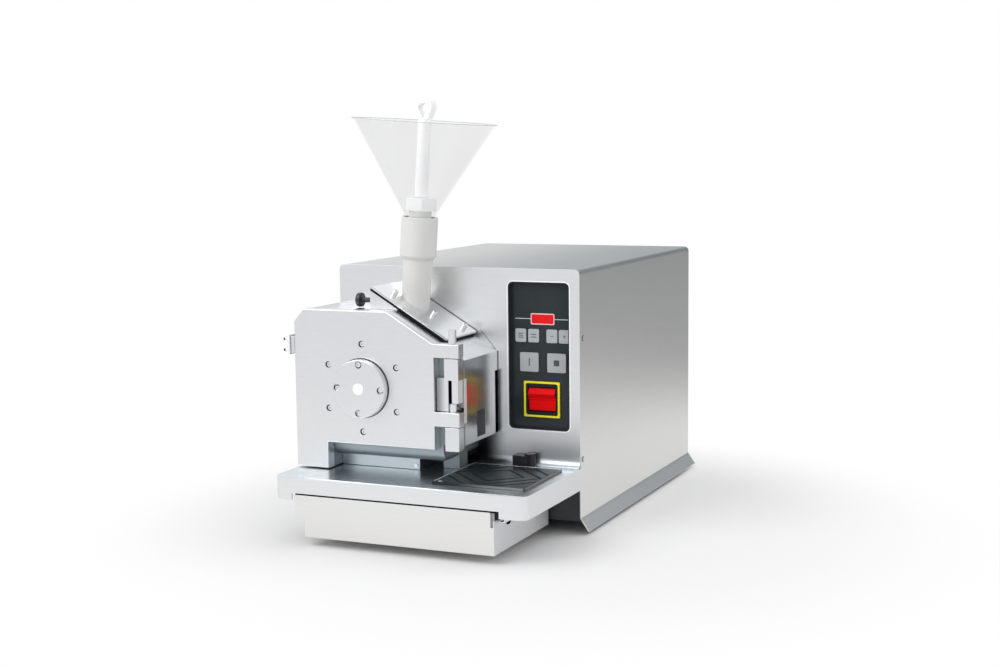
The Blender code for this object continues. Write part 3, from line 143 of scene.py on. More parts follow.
def darker(tone, drop):
    return rgb(*[part - drop for part in tone[:3]])


def either(first, second):  # two shades laid over each other
    return first + second - first * second


# Finishes
steelCommon = {"streak": 0.03, "rough": 0.34, "spread": 0.04, "grain": (900, 30, 900), "patches": ()}
steelLooks = {  # tone, drop in its streaks, roughness, its spread, grain direction
    "panelSteel": {"tone": rgb(0.80, 0.81, 0.82), "grain": (12, 900, 900)},
    "drawerSteel": {"tone": rgb(0.83, 0.825, 0.81), "rough": 0.36, "grain": (12, 900, 900)},
    "coverSteel": {"tone": rgb(0.76, 0.755, 0.74), "streak": 0.04, "grain": (900, 9, 900)},
    "machinedPlate": {"tone": rgb(0.80, 0.81, 0.82), "rough": 0.36, "grain": (30, 900, 900)},
    "millSteel": {"tone": rgb(0.76, 0.78, 0.80), "rough": 0.26},
    "chuteSteel": {"tone": rgb(0.56, 0.61, 0.64), "rough": 0.30},
    "polishedSteel": {"tone": rgb(0.86, 0.87, 0.88), "streak": 0.04, "rough": 0.18, "grain": (700, 40, 700)},
    "toolSteel": {"tone": rgb(0.50, 0.51, 0.53), "streak": 0.06, "rough": 0.28, "spread": 0.08,
                  "grain": (400, 40, 400)},
    # painted shade: the hinge front darkens towards the left
    "hingeFrontPaintedShade": {"tone": rgb(0.80, 0.81, 0.82), "streak": 0.04, "rough": 0.40, "grain": (30, 900, 900),
                 "patches": ({"tone": rgb(0.34, 0.36, 0.38), "x": ((0.0520, 0.0370),)},)},
    # hingeFace is a paler, rougher steel; on the drawer's right side it serves as painted light
    "hingeFace": {"tone": rgb(0.90, 0.91, 0.92), "streak": 0.04, "rough": 0.62},
    "screwSteel": {"tone": rgb(0.86, 0.87, 0.88), "streak": 0.06, "rough": 0.30, "spread": 0.06,
                   "grain": (500, 500, 500)},
}

# Patches: painted light and shade, each a tone laid over part of a finish, as far as its reach, between ramps
# along x, y or z
tablePaintedLight = (  # smoother table with a bluer tone painted as its reflected light, painted shade in the corner by the mill, painted shade at the foot of the panel
    {"tone": rgb(0.74, 0.79, 0.82), "rough": -0.07, "z": ((0.114, 0.107), (0.1030, 0.1042))},
    {"tone": rgb(0.03, 0.036, 0.04), "x": ((0.090, 0.050), (-0.005, 0.010)),
     "z": ((0.160, 0.146), (0.1055, 0.108))},
    {"tone": rgb(0.22, 0.27, 0.29), "reach": 0.35, "x": ((0.115, 0.140),),
     "z": ((0.150, 0.118), (0.1055, 0.108))},
)
coverPaintedLight = (  # painted reflected light paler low down, a painted highlight on the flare, painted shade along the right fold
    {"tone": rgb(0.86, 0.855, 0.84), "reach": 0.78, "z": ((0.24, 0.02),)},
    {"tone": rgb(0.98, 0.98, 0.98), "z": ((0.028, 0.020),)},
    {"tone": rgb(0.32, 0.35, 0.36), "reach": 0.78, "x": ((-0.20, 0.20),), "z": ((0.4040, 0.4090),)},
)
steelLooks["panelSteelPaintedLight"] = {**steelLooks["panelSteel"], "patches": tablePaintedLight}
steelLooks["coverSteelPaintedLight"] = {**steelLooks["coverSteel"], "patches": coverPaintedLight}
steelMarks = {"relief": 0.00001, "reliefStrength": 0.2, "lineScale": 2.0, "lines": (0.35, 0.7),
              "cloudScale": 7.0}


def grained(finish, look):  # lines along the grain, and the tone that they streak
    lines = finish.noise(steelMarks["lineScale"], look["grain"])
    streak = darker(look["tone"], look["streak"])
    return lines, finish.mix(finish.ramp(lines, *steelMarks["lines"]), streak, look["tone"])


def reachOf(finish, patch):  # how strongly a patch covers: the product of its ramps
    where = patch.get("reach", 1.0)
    for index, name in enumerate("xyz"):
        if name in patch:
            spot = finish.axis(index)
            for steps in patch[name]:
                where = finish.ramp(spot, *steps) * where
    return where


def steel(name):  # metal with straight grain and faint handling marks, and patches of painted light and shade laid over it
    look = {**steelCommon, **steelLooks[name]}
    finish = Finish(name)
    lines, tone = grained(finish, look)
    clouds = finish.noise(steelMarks["cloudScale"], detail=2.0)
    rough = look["rough"] + (lines + clouds - 1) * look["spread"]
    for patch in look["patches"]:
        where = reachOf(finish, patch)
        tone = finish.mix(where, tone, patch["tone"])
        if "rough" in patch:
            rough = rough + where * patch["rough"]
    return finish.metal(tone, rough, lines)


plasticCommon = {"rough": 0.5, "pebble": 900, "depth": 0.00001, "coat": 0.0, "shine": 0.5,
                 "relief": 0.6, "cloudScale": 14.0, "clouds": (0.3, 0.7), "spread": 0.10}
plasticLooks = {  # tone, paler tone, roughness, pebble size and depth, coat, shine
    "creamPlastic": {"tone": rgb(0.64, 0.64, 0.62), "pale": rgb(0.69, 0.69, 0.67), "rough": 0.38,
                     "pebble": 420, "depth": 0.00003},
    # whitePlastic's glow is painted light: the white parts give off a faint light of their own
    "whitePlastic": {"tone": rgb(0.93, 0.93, 0.935), "pale": rgb(0.96, 0.96, 0.965), "rough": 0.34,
                     "pebble": 380, "depth": 0.00002, "coat": 0.1, "glow": 0.05},
    "blackRubber": {"tone": rgb(0.012, 0.015, 0.016), "pale": rgb(0.020, 0.024, 0.026), "rough": 0.55,
                    "depth": 0.00005, "shine": 0.1},
    "matRubber": {"tone": rgb(0.028, 0.036, 0.040), "pale": rgb(0.036, 0.046, 0.050), "rough": 0.25,
                  "shine": 0.12},
    # a near-black laid in slots and notches as painted shade
    "paintedShadeBlack": {"tone": rgb(0.002, 0.0024, 0.0028), "pale": rgb(0.003, 0.0034, 0.0038), "rough": 0.6,
                  "shine": 0.0},
    "blackPlastic": {"tone": rgb(0.010, 0.012, 0.014), "pale": rgb(0.018, 0.021, 0.024), "rough": 0.30,
                     "depth": 0.00003},
    "keypadFoil": {"tone": rgb(0.022, 0.029, 0.032), "pale": rgb(0.028, 0.036, 0.040), "rough": 0.16,
                   "pebble": 1500, "shine": 0.20},
    "greyKey": {"tone": rgb(0.36, 0.38, 0.40), "pale": rgb(0.42, 0.44, 0.46), "rough": 0.42,
                "pebble": 1400},
    "keyPrint": {"tone": rgb(0.05, 0.055, 0.06), "pale": rgb(0.07, 0.075, 0.08), "rough": 0.45,
                 "pebble": 1400},
    "linePrint": {"tone": rgb(0.55, 0.56, 0.57), "pale": rgb(0.62, 0.63, 0.64), "rough": 0.45,
                  "pebble": 1400},
    "displayRim": {"tone": rgb(0.78, 0.50, 0.52), "pale": rgb(0.84, 0.60, 0.62), "rough": 0.40,
                   "pebble": 1400},
    "yellowPlastic": {"tone": rgb(0.88, 0.74, 0.02), "pale": rgb(0.94, 0.82, 0.04), "rough": 0.34,
                      "pebble": 700, "depth": 0.00002, "shine": 0.2},
    "redPlastic": {"tone": rgb(0.78, 0.003, 0.004), "pale": rgb(0.84, 0.005, 0.006), "rough": 0.42,
                   "pebble": 700, "depth": 0.00002, "shine": 0.05},
    "casePlastic": {"tone": rgb(0.05, 0.053, 0.056), "pale": rgb(0.07, 0.073, 0.076), "pebble": 600,
                    "depth": 0.00006},
    "darkCoat": {"tone": rgb(0.02, 0.022, 0.024), "pale": rgb(0.035, 0.037, 0.039), "depth": 0.00006},
    "castPaint": {"tone": rgb(0.10, 0.11, 0.12), "pale": rgb(0.14, 0.15, 0.16), "rough": 0.48,
                  "pebble": 240, "depth": 0.00015, "coat": 0.1},
    # a grey laid on the drawer relief as painted light, standing for its softly lit inside
    "reliefPaintedLight": {"tone": rgb(0.24, 0.25, 0.26), "pale": rgb(0.30, 0.31, 0.32), "pebble": 600,
                   "depth": 0.00002},
    "boardGreen": {"tone": rgb(0.01, 0.09, 0.035), "pale": rgb(0.015, 0.12, 0.05), "rough": 0.35,
                   "pebble": 300, "depth": 0.00004, "coat": 0.2},
}


def plastic(name):  # moulded, coated or printed surface with a fine pebble
    look = {**plasticCommon, **plasticLooks[name]}
    finish = Finish(name)
    pebble = finish.noise(look["pebble"], detail=2.0)
    clouds = finish.noise(look["cloudScale"])
    tone = finish.mix(finish.ramp(clouds, *look["clouds"]), look["tone"], look["pale"])
    # a glow, where given, is painted light: the surface gives off a faint light of its own
    if "glow" in look:
        finish.give({"Emission Color": tone, "Emission Strength": look["glow"]})
    return finish.give({"Base Color": tone, "Roughness": look["rough"] + (clouds - 0.5) * look["spread"],
                        "Coat Weight": look["coat"], "Specular IOR Level": look["shine"],
                        "Normal": finish.bump(pebble, look["depth"], look["relief"])})


displayLook = {"lit": rgb(0.80, 0.006, 0.010), "dim": rgb(0.66, 0.004, 0.008), "cloudScale": 60.0,
               "glow": 0.10, "rough": 0.25, "shine": 0.2}


def displayRed():  # backlit window with faint unevenness
    finish = Finish("displayRed")
    clouds = finish.noise(displayLook["cloudScale"], detail=1.0)
    tone = finish.mix(clouds, displayLook["dim"], displayLook["lit"])
    return finish.give({"Base Color": tone, "Emission Color": tone, "Roughness": displayLook["rough"],
                        "Emission Strength": displayLook["glow"],
                        "Specular IOR Level": displayLook["shine"]})


clearLook = {"tone": rgb(0.32, 0.325, 0.33), "cover": 0.075, "coverSpread": 0.03, "rough": 0.10,
             "roughSpread": 0.05, "flowScale": 14.0, "stretch": (1, 1, 0.15), "relief": 0.0004,
             "reliefStrength": 0.15}
clearRimLook = {**clearLook, "tone": rgb(0.50, 0.52, 0.53), "cover": 0.45}


def clearPlastic(name, look):  # thin clear moulding with faint flow marks
    finish = Finish(name)
    finish.material.surface_render_method = "BLENDED"
    flow = finish.noise(look["flowScale"], look["stretch"], 2.0)
    return finish.give({"Base Color": look["tone"], "Roughness": look["rough"] + flow * look["roughSpread"],
                        "Alpha": look["cover"] + (flow - 0.5) * look["coverSpread"],
                        "Normal": finish.bump(flow, look["relief"], look["reliefStrength"])})


trayLook = {"tone": rgb(0.82, 0.83, 0.84), "paintedDark": rgb(0.03, 0.034, 0.036), "rough": 0.22, "spread": 0.04,
            "dull": 0.30, "grain": (12, 900, 900), "frontY": (-0.3485, -0.3515), "leftX": (0.165, 0.075),
            "least": 0.75, "rimX": (0.1905, 0.1925), "rimShade": 0.60}


def trayPaintedReflection():  # painted reflection: the front lip, darkest at the left, is painted dark as a mirror of the mat, the right rim gets painted shade, and the other rims stay bright and rougher
    finish = Finish("trayPaintedReflection")
    across, along = finish.axis(0), finish.axis(1)
    left = finish.ramp(across, *trayLook["leftX"]) * (1 - trayLook["least"]) + trayLook["least"]
    rim = finish.ramp(across, *trayLook["rimX"]) * trayLook["rimShade"]
    shade = either(finish.ramp(along, *trayLook["frontY"]) * left, rim)
    lines = finish.noise(steelMarks["lineScale"], trayLook["grain"])
    rough = trayLook["rough"] + lines * trayLook["spread"] + (1 - shade) * trayLook["dull"]
    return finish.metal(finish.mix(shade, trayLook["tone"], trayLook["paintedDark"]), rough)


# painted shade under the door and in the hinge recesses: its tone, where it falls, and the roughness it adds
chamberLook = {"paintedDark": rgb(0.36, 0.40, 0.42), "low": (0.153, 0.147), "dull": 0.30,
               "front": (-0.2940, -0.2985), "frontEnd": (-0.3035, -0.3015)}


def chamberPaintedShade():  # mill steel with painted shade under the door and in the hinge recesses, which are also rougher
    finish = Finish("chamberPaintedShade")
    look = {**steelCommon, **steelLooks["millSteel"]}
    lines, tone = grained(finish, look)
    along, height = finish.axis(1), finish.axis(2)
    front = finish.ramp(along, *chamberLook["front"]) * finish.ramp(along, *chamberLook["frontEnd"])
    shade = either(front, finish.ramp(height, *chamberLook["low"]))
    rough = look["rough"] + (lines - 0.5) * look["spread"] + shade * chamberLook["dull"]
    return finish.metal(finish.mix(shade, tone, chamberLook["paintedDark"]), rough)


finishes = {name: steel(name) for name in steelLooks}
finishes.update({name: plastic(name) for name in plasticLooks})
finishes["chamberPaintedShade"] = chamberPaintedShade()
finishes["trayPaintedReflection"] = trayPaintedReflection()
finishes["displayRed"] = displayRed()
finishes["clearPlastic"] = clearPlastic("clearPlastic", clearLook)
finishes["clearRim"] = clearPlastic("clearRim", clearRimLook)
slotFinish = {  # what the shells of each material slot are made of
    "satin_steel": "panelSteel", "brushed_steel": "coverSteel", "machined_plate": "machinedPlate",
    "polished_steel": "polishedSteel", "tool_steel": "toolSteel", "cast_metal": "castPaint",
    "dark_sheet": "darkCoat", "case_plastic": "casePlastic", "white_plastic": "whitePlastic",
    "black_rubber": "blackRubber", "black_plastic": "blackPlastic", "red_plastic": "redPlastic",
    "board_green": "boardGreen",
}
print("finishes made:", len(finishes))


# Pieces
mergeGap = 0.000002  # corners nearer than this are one
mergeAngle = radians(0.5)  # faces that meet flatter than this are one
roundAngle = radians(32)  # edges flatter than this are shaded smooth
squareAngle = radians(60)  # edges sharper than this are square corners
facing = 0.9  # how far a face's normal points to the side that it belongs to
seatGap = 0.0003  # the space between neighbouring faces
screwGap = 0.0001  # how far screws stand off their face
bodyOf = {node: empty for empty, group in frame["record"]["behaviour"]["bodies"].items() for node in group}


def boxOf(node):
    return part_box(node)


home = Vector((boxOf("door_plate")[0].x, boxOf("chamber_body")[1].y + seatGap, 0))


def at(x, y, z):  # from the housing's left end, the panel's face and the floor
    return home + Vector((x, y, z))


def backOf(node):  # the middle of a node's rear face
    low, high = boxOf(node)
    return Vector(((low.x + high.x) / 2, high.y, (low.z + high.z) / 2))


def edgesOver(bm, angle):
    return [edge for edge in bm.edges if edge.is_manifold and edge.calc_face_angle() > angle]


def edgesWhere(bm, test):  # sharp edges whose two ends pass a test
    return [edge for edge in edgesOver(bm, roundAngle) if all(test(vert.co) for vert in edge.verts)]


def soften(bm, edges, width, segments=2):
    bmesh.ops.bevel(bm, geom=edges, offset=width, offset_type="OFFSET", segments=segments, profile=0.5,
                    affect="EDGES", clamp_overlap=True, material=-1)


def cut(bm, spot, along, clearInner=False, clearOuter=False):
    bmesh.ops.bisect_plane(bm, geom=bm.verts[:] + bm.edges[:] + bm.faces[:], plane_co=spot, plane_no=along,
                           clear_inner=clearInner, clear_outer=clearOuter)


def finished(name, bm, finish, node, replaced=()):
    body, slot = bodyOf[node], slots[node]
    mesh = bpy.data.meshes.new(name)
    bm.to_mesh(mesh)
    bm.free()
    mesh.shade_smooth()
    mesh.set_sharp_from_angle(angle=roundAngle)
    mesh.materials.append(finishes[finish])
    piece = bpy.data.objects.new(name, mesh)
    bpy.context.scene.collection.objects.link(piece)
    shading = piece.modifiers.new("evenShading", "WEIGHTED_NORMAL")
    shading.keep_sharp = True
    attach(piece, body)
    if replaced:
        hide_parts(*replaced)
    return piece


def joined(bm):  # merges double corners, and faces that lie flat together
    bmesh.ops.remove_doubles(bm, verts=bm.verts, dist=mergeGap)
    bmesh.ops.dissolve_limit(bm, angle_limit=mergeAngle, verts=bm.verts, edges=bm.edges)
    return bm


def cleanCopy(node):
    bm = bmesh.new()
    bm.from_mesh(cadNodes[node].data)
    return joined(bm)


def dressed(node, bm, finish, width):  # a clean copy with broken edges, in place of its node
    if width:
        soften(bm, edgesOver(bm, roundAngle), width)
    return finished(node + "_shell", bm, finish or slotFinish[slots[node]], node, [node])


def marked(piece, *names):  # adds finishes, and gives the faces that may take them
    for name in names:
        piece.data.materials.append(finishes[name])
    return piece.data.polygons


def placed(bm, spot, along=(0, 0, 1)):  # stands a shape made on the floor at its place
    turn = Vector((0, 0, 1)).rotation_difference(Vector(along)).to_matrix().to_4x4()
    bmesh.ops.transform(bm, matrix=Matrix.Translation(spot) @ turn, verts=bm.verts)
    return bm


def turnedShape(profile, steps=96, closed=False):
    bm = bmesh.new()
    points = [bm.verts.new((radius, 0, height)) for radius, height in profile]
    pairs = list(zip(points, points[1:])) + ([(points[-1], points[0])] if closed else [])
    lines = [bm.edges.new(pair) for pair in pairs]
    bmesh.ops.spin(bm, geom=points + lines, cent=(0, 0, 0), axis=(0, 0, 1), dvec=(0, 0, 0),
                   angle=2 * pi, steps=steps, use_merge=True)
    bmesh.ops.remove_doubles(bm, verts=bm.verts, dist=mergeGap)
    bmesh.ops.recalc_face_normals(bm, faces=bm.faces)
    return bm


def drumShape(radius, high, steps=96, low=0.0):
    return turnedShape([(0, low), (radius, low), (radius, high), (0, high)], steps)


def hoopShape(inner, outer, low, high):
    return turnedShape([(inner, low), (outer, low), (outer, high), (inner, high)], 128, closed=True)


def roundedGrid(bm, width, height, corner):
    grid = bmesh.ops.create_grid(bm, x_segments=1, y_segments=1, size=0.5)
    bmesh.ops.scale(bm, vec=(width, height, 1), verts=grid["verts"])
    if corner:
        bmesh.ops.bevel(bm, geom=grid["verts"], offset=corner, offset_type="OFFSET", segments=5,
                        profile=0.5, affect="VERTICES", material=-1)


def raiseFaces(bm, thick):  # gives flat faces a thickness
    grown = bmesh.ops.extrude_face_region(bm, geom=bm.faces[:])
    raised = [item for item in grown["geom"] if isinstance(item, bmesh.types.BMVert)]
    bmesh.ops.translate(bm, vec=(0, 0, thick), verts=raised)
    bmesh.ops.recalc_face_normals(bm, faces=bm.faces)


def stoodUp(bm):  # turns what lay on the floor to face -Y
    bmesh.ops.rotate(bm, cent=(0, 0, 0), matrix=Matrix.Rotation(radians(90), 3, "X"), verts=bm.verts)
    return bm


def plateShape(width, height, thick, corner=0.0):
    # an upright plate: width on X, height on Z, its front at -Y and its back on the origin's plane
    bm = bmesh.new()
    roundedGrid(bm, width, height, corner)
    raiseFaces(bm, thick)
    return stoodUp(bm)


def frameShape(outer, hole, thick, corner, holeCorner):
    # an upright plate with a hole: outer and hole are (width, height)
    bm = bmesh.new()
    roundedGrid(bm, *outer, corner)
    roundedGrid(bm, *hole, holeCorner)
    bmesh.ops.delete(bm, geom=bm.faces[:], context="FACES_ONLY")
    bmesh.ops.bridge_loops(bm, edges=bm.edges[:])
    raiseFaces(bm, thick)
    return stoodUp(bm)


def barShape(low, high):  # a block between two corners
    bm = bmesh.new()
    bmesh.ops.create_cube(bm, size=1.0)
    bmesh.ops.scale(bm, vec=high - low, verts=bm.verts)
    bmesh.ops.translate(bm, vec=(low + high) / 2, verts=bm.verts)
    return bm


def screwShape(look):  # a head standing on the floor, with a six-sided socket
    top = look["rise"]
    bm = turnedShape([(0, 0), (look["head"], 0), (look["head"], top), (look["socket"], top),
                      (look["socket"], top - look["deep"]), (0, top - look["deep"])], 24)
    rim = edgesWhere(bm, lambda spot: spot.z > top - mergeGap and
                     hypot(spot.x, spot.y) > look["socket"] + mergeGap)
    soften(bm, rim, look["head"] * screwEdge)
    for vert in bm.verts:
        if abs(hypot(vert.co.x, vert.co.y) - look["socket"]) < mergeGap:
            turn = atan2(vert.co.y, vert.co.x) % (pi / 3) - pi / 6
            vert.co.x *= cos(pi / 6) / cos(turn)
            vert.co.y *= cos(pi / 6) / cos(turn)
    return bm


def screws(name, kind, spots, along, node):
    look = screwLooks[kind]
    heads = [placed(screwShape(look), spot, along) for spot in spots]
    finished(name, merged(heads), "screwSteel", node)
    # black seat discs under the heads: painted shade
    if "seat" in look:
        shadeDiscs = [placed(drumShape(look["seat"], shadeDiscRise, 24), spot, along) for spot in spots]
        finished(name + "_shade_seats", merged(shadeDiscs), "blackRubber", node)


def merged(shapes):  # several shapes in one mesh
    whole = bmesh.new()
    for shape in shapes:
        mesh = bpy.data.meshes.new("shape")
        shape.to_mesh(mesh)
        shape.free()
        whole.from_mesh(mesh)
        bpy.data.meshes.remove(mesh)
    return whole


# Housing, table, drawer and everything that keeps its frame shape
shellWidths = {  # how far the edges of each node are broken
    "housing_cover": 0.0005, "front_panel": 0.0010, "drawer_tray": 0.0005, "drip_tray": 0.0004,
    "discharge_chute": 0.0007, "chamber_body": 0.0007,
    "hinge_block_lower": 0.0006, "latch_bracket": 0.0004, "latch_catch": 0.0005,
    "feed_block": 0.0004, "plate_seal": 0.0, "funnel_plate": 0.0006, "interlock_switch": 0.0008,
    "keypad_panel": 0.0003, "power_rocker": 0.0006, "rear_panel": 0.0004, "mains_inlet": 0.0003,
    "cutting_rotor": 0.0003, "rotor_shaft": 0.0004, "fixed_knife_left": 0.0002,
    "fixed_knife_right": 0.0002, "sieve": 0.0002, "front_bearing": 0.0004, "rear_bearing_1": 0.0004,
    "rear_bearing_2": 0.0004, "rear_bearing_housing": 0.0006, "drawer_rail_left": 0.0003,
    "drawer_rail_right": 0.0003, "base_plate": 0.0004, "chassis_plate": 0.0006,
    "motor_bracket": 0.0006, "drive_motor": 0.0008, "motor_shaft": 0.0004, "coupling_hub": 0.0006,
    "inverter_box": 0.0008, "control_board": 0.0001, "drip_mat": 0.0003, "plunger_stop": 0.0008,
}
shellFinish = {  # where the slot's own finish is not used
    "keypad_panel": "keypadFoil", "discharge_chute": "chuteSteel", "drip_tray": "trayPaintedReflection",
    "chamber_body": "chamberPaintedShade", "housing_cover": "coverSteelPaintedLight", "latch_catch": "polishedSteel",
    "drip_mat": "blackRubber", "front_panel": "panelSteelPaintedLight", "drawer_tray": "drawerSteel",
    "hinge_block_lower": "millSteel",
}
for node, width in shellWidths.items():
    shell = dressed(node, cleanCopy(node), shellFinish.get(node), width)
    if node == "drawer_tray":  # its right side takes the paler hingeFace steel, painted light that brightens a side in shade
        for face in marked(shell, "hingeFace"):
            face.material_index = 1 if face.normal.x > facing else 0
print("shells made:", len(shellWidths))


# Places and directions on the mill
rotorSpot = Vector(joints["rotor_spin"]["pos_m"])
hingeSpot = Vector(joints["door_hinge"]["pos_m"])
feedAlong = Vector(joints["funnel_lift"]["axis"]).normalized()
slope = radians(30.8)
slopeUp = Vector((sin(slope), 0, cos(slope)))
forward = (0, -1, 0)
upward = (0, 0, 1)


# Door with a wide bright edge, and the latch with dark peg tips
doorLook = {"bevel": 0.0019, "inner": 0.0005, "edgesFrom": 0.080}
doorFace = boxOf("door_plate")[0].y
door = cleanCopy("door_plate")
rim = edgesWhere(door, lambda spot: spot.y < doorFace + mergeGap and
                 hypot(spot.x - rotorSpot.x, spot.z - rotorSpot.z) > doorLook["edgesFrom"])
soften(door, rim, doorLook["bevel"], 3)
dressed("door_plate", door, None, doorLook["inner"])

pegLook = {"tip": 0.0032, "bevel": 0.0004}
pegEnd = boxOf("latch_lever")[0].x + pegLook["tip"]
lever = cleanCopy("latch_lever")
cut(lever, (pegEnd, 0, 0), (1, 0, 0))
lever = dressed("latch_lever", lever, "hingeFace", pegLook["bevel"])
for face in marked(lever, "blackRubber"):
    if face.center.x < pegEnd:
        face.material_index = 1


# Bearing cover disc
coverDisc = {"radius": 0.0445, "spigot": 0.026, "plug": 0.0088, "plugRise": 0.0008, "plugEdge": 0.0003,
             "bevel": 0.0014, "hole": 0.0056, "holeDepth": 0.0052, "circle": 0.0372, "turn": 91.0,
             "shadowIn": 0.0447, "shadowOut": 0.0460, "shadowRise": 0.0002}


def circleOf(radius, count, start):  # places spread evenly on a circle, the first at a given turn
    turns = [radians(start + 360 / count * step) for step in range(count)]
    return [(radius * cos(turn), radius * sin(turn)) for turn in turns]


def ringLoop(bm, radius, height, steps, spot=(0, 0)):
    circle = set(bmesh.ops.create_circle(bm, cap_ends=False, radius=radius, segments=steps)["verts"])
    bmesh.ops.translate(bm, vec=(spot[0], spot[1], height), verts=list(circle))
    return [edge for edge in bm.edges if edge.verts[0] in circle]


def boredDisc(look, thick, holes):  # a disc on the floor with sunk holes in its top
    bm = bmesh.new()
    loops = [(ringLoop(bm, look["radius"], thick, 128), thick)]
    loops += [(ringLoop(bm, look["hole"], thick, 32, spot), look["holeDepth"]) for spot in holes]
    bmesh.ops.triangle_fill(bm, use_beauty=True, use_dissolve=False, edges=bm.edges[:])
    for loop, depth in loops:
        grown = bmesh.ops.extrude_edge_only(bm, edges=loop)["geom"]
        lower = [item for item in grown if isinstance(item, bmesh.types.BMVert)]
        bmesh.ops.translate(bm, vec=(0, 0, -depth), verts=lower)
        floorEdges = [edge for edge in bm.edges if edge.is_boundary and edge.verts[0] in lower]
        bmesh.ops.edgeloop_fill(bm, edges=floorEdges)
    bmesh.ops.recalc_face_normals(bm, faces=bm.faces)
    top = edgesWhere(bm, lambda spot: spot.z > thick - mergeGap and
                     hypot(spot.x, spot.y) > look["radius"] - mergeGap)
    soften(bm, top, look["bevel"], 3)
    return bm


def fromAxis(x, y, z):  # from the rotor's axis, at a given depth
    return Vector((rotorSpot.x + x, y, rotorSpot.z + z))


discLow, discHigh = boxOf("bearing_cover")
discBack = doorFace - seatGap
discHoles = circleOf(coverDisc["circle"], 4, coverDisc["turn"])
disc = boredDisc(coverDisc, discBack - discLow.y, [(x, -z) for x, z in discHoles])
placed(disc, fromAxis(0, discBack, 0), forward)
spigot = placed(drumShape(coverDisc["spigot"], discHigh.y - discBack), fromAxis(0, discHigh.y, 0), forward)
finished("bearing_cover_disc", merged([disc, spigot]), "machinedPlate", "bearing_cover", ["bearing_cover"])
plug = drumShape(coverDisc["plug"], coverDisc["plugRise"], 64)
soften(plug, edgesOver(plug, roundAngle), coverDisc["plugEdge"], 3)
finished("bearing_cover_plug", placed(plug, fromAxis(0, discLow.y, 0), forward), "whitePlastic",
         "bearing_cover")
# painted shadow: a thin black ring on the door round the foot of the disc
shadowRing = hoopShape(coverDisc["shadowIn"], coverDisc["shadowOut"], 0, coverDisc["shadowRise"])
finished("bearing_cover_painted_shadow", placed(shadowRing, fromAxis(0, doorFace, 0), forward), "blackRubber",
         "bearing_cover")


# Screws
screwLooks = {  # head radius, height, socket radius and its depth, and the radius of a black seat disc of painted shade
    "doorScrew": {"head": 0.0040, "rise": 0.0046, "socket": 0.0020, "deep": 0.0024, "seat": 0.0051},
    "discScrew": {"head": 0.0043, "rise": 0.0030, "socket": 0.0019, "deep": 0.0016, "seat": 0.0055},
    "plateScrew": {"head": 0.0046, "rise": 0.0066, "socket": 0.0022, "deep": 0.0024},
    "smallScrew": {"head": 0.0032, "rise": 0.0016, "socket": 0.0015, "deep": 0.0010},
    "sideScrew": {"head": 0.0034, "rise": 0.0012, "socket": 0.0015, "deep": 0.0008, "seat": 0.0043},
}
screwPlaces = {"doorCircle": 0.0674, "doorDepth": 0.0067, "chute": (0.1845, 0.1117),
               "plate": ((0.141, -0.079), (0.1445, -0.057), (0.196, -0.055), (0.232, -0.0235)),
               "side": ((0.0145, 0.305), (0.0120, 0.117)), "tray": (0.2620, -0.1745),
               "rearX": (0.020, 0.208, 0.396), "rearZ": (0.035, 0.395)}
screwEdge = 0.12  # width of the broken edge, as a share of the head's radius
shadeDiscRise = 0.0004  # thickness of the black seat discs under screw heads, painted shade in sunk holes and round heads
doorSpots = [fromAxis(x, doorFace + screwPlaces["doorDepth"], z)
             for x, z in circleOf(screwPlaces["doorCircle"], 6, 90)]
screws("door_screws", "doorScrew", doorSpots, forward, "door_plate")
discFloor = discLow.y + coverDisc["holeDepth"] - screwGap
discSpots = [fromAxis(x, discFloor, z) for x, z in discHoles]
screws("cover_screws", "discScrew", discSpots, forward, "bearing_cover")
plateTop = max(slopeUp.dot(vert.co) for vert in cadNodes["funnel_plate"].data.vertices) + screwGap
plateSpots = []
for x, y in screwPlaces["plate"]:
    spot = at(x, y, 0)
    spot.z = (plateTop - slopeUp.x * spot.x) / slopeUp.z
    plateSpots.append(spot)
screws("plate_screws", "plateScrew", plateSpots, slopeUp, "funnel_plate")
chuteX, chuteZ = screwPlaces["chute"]
chuteFace = boxOf("discharge_chute")[0].y - screwGap - home.y
screws("chute_screw", "smallScrew", [at(chuteX, chuteFace, chuteZ)], forward, "discharge_chute")
side = boxOf("front_panel")[1].x + screwGap - home.x
screws("cover_side_screws", "sideScrew", [at(side, y, z) for y, z in screwPlaces["side"]], (1, 0, 0),
       "housing_cover")
rear = boxOf("rear_panel")[1].y + screwGap - home.y
rearSpots = [at(x, rear, z) for x in screwPlaces["rearX"] for z in screwPlaces["rearZ"]]
screws("rear_screws", "sideScrew", rearSpots, (0, 1, 0), "rear_panel")
print("door, latch, cover disc and screws made")


# Small blocks in and behind narrow openings: the black fills and the black backing are painted shade
blockLooks = {  # finish, the node that each belongs to, two corners
    "rear_notch_painted_shade": ("paintedShadeBlack", "plate_seal", (0.2560, -0.0116, 0.1535), (0.2788, -0.0005, 0.2515)),
    "hinge_slit_painted_shade": ("paintedShadeBlack", "plate_seal", (0.2598, -0.1372, 0.2190), (0.2678, -0.1270, 0.2535)),
    "chamber_slot_wall": ("castPaint", "plate_seal", (0.2580, -0.0497, 0.1593), (0.2790, -0.0493, 0.1987)),
    "slot_painted_shade": ("blackRubber", "plate_seal", (0.0338, -0.2092, 0.0668), (0.3742, -0.2082, 0.0835)),
    # painted light: a grey sheet stands for the softly lit inside of the drawer behind the cut-away
    "drawer_relief_painted_light": ("reliefPaintedLight", "drawer_tray", (0.3592, -0.2108, 0.0552), (0.3652, -0.2099, 0.0768)),
}
for name, (finish, node, low, high) in blockLooks.items():
    finished(name, barShape(at(*low), at(*high)), finish, node)


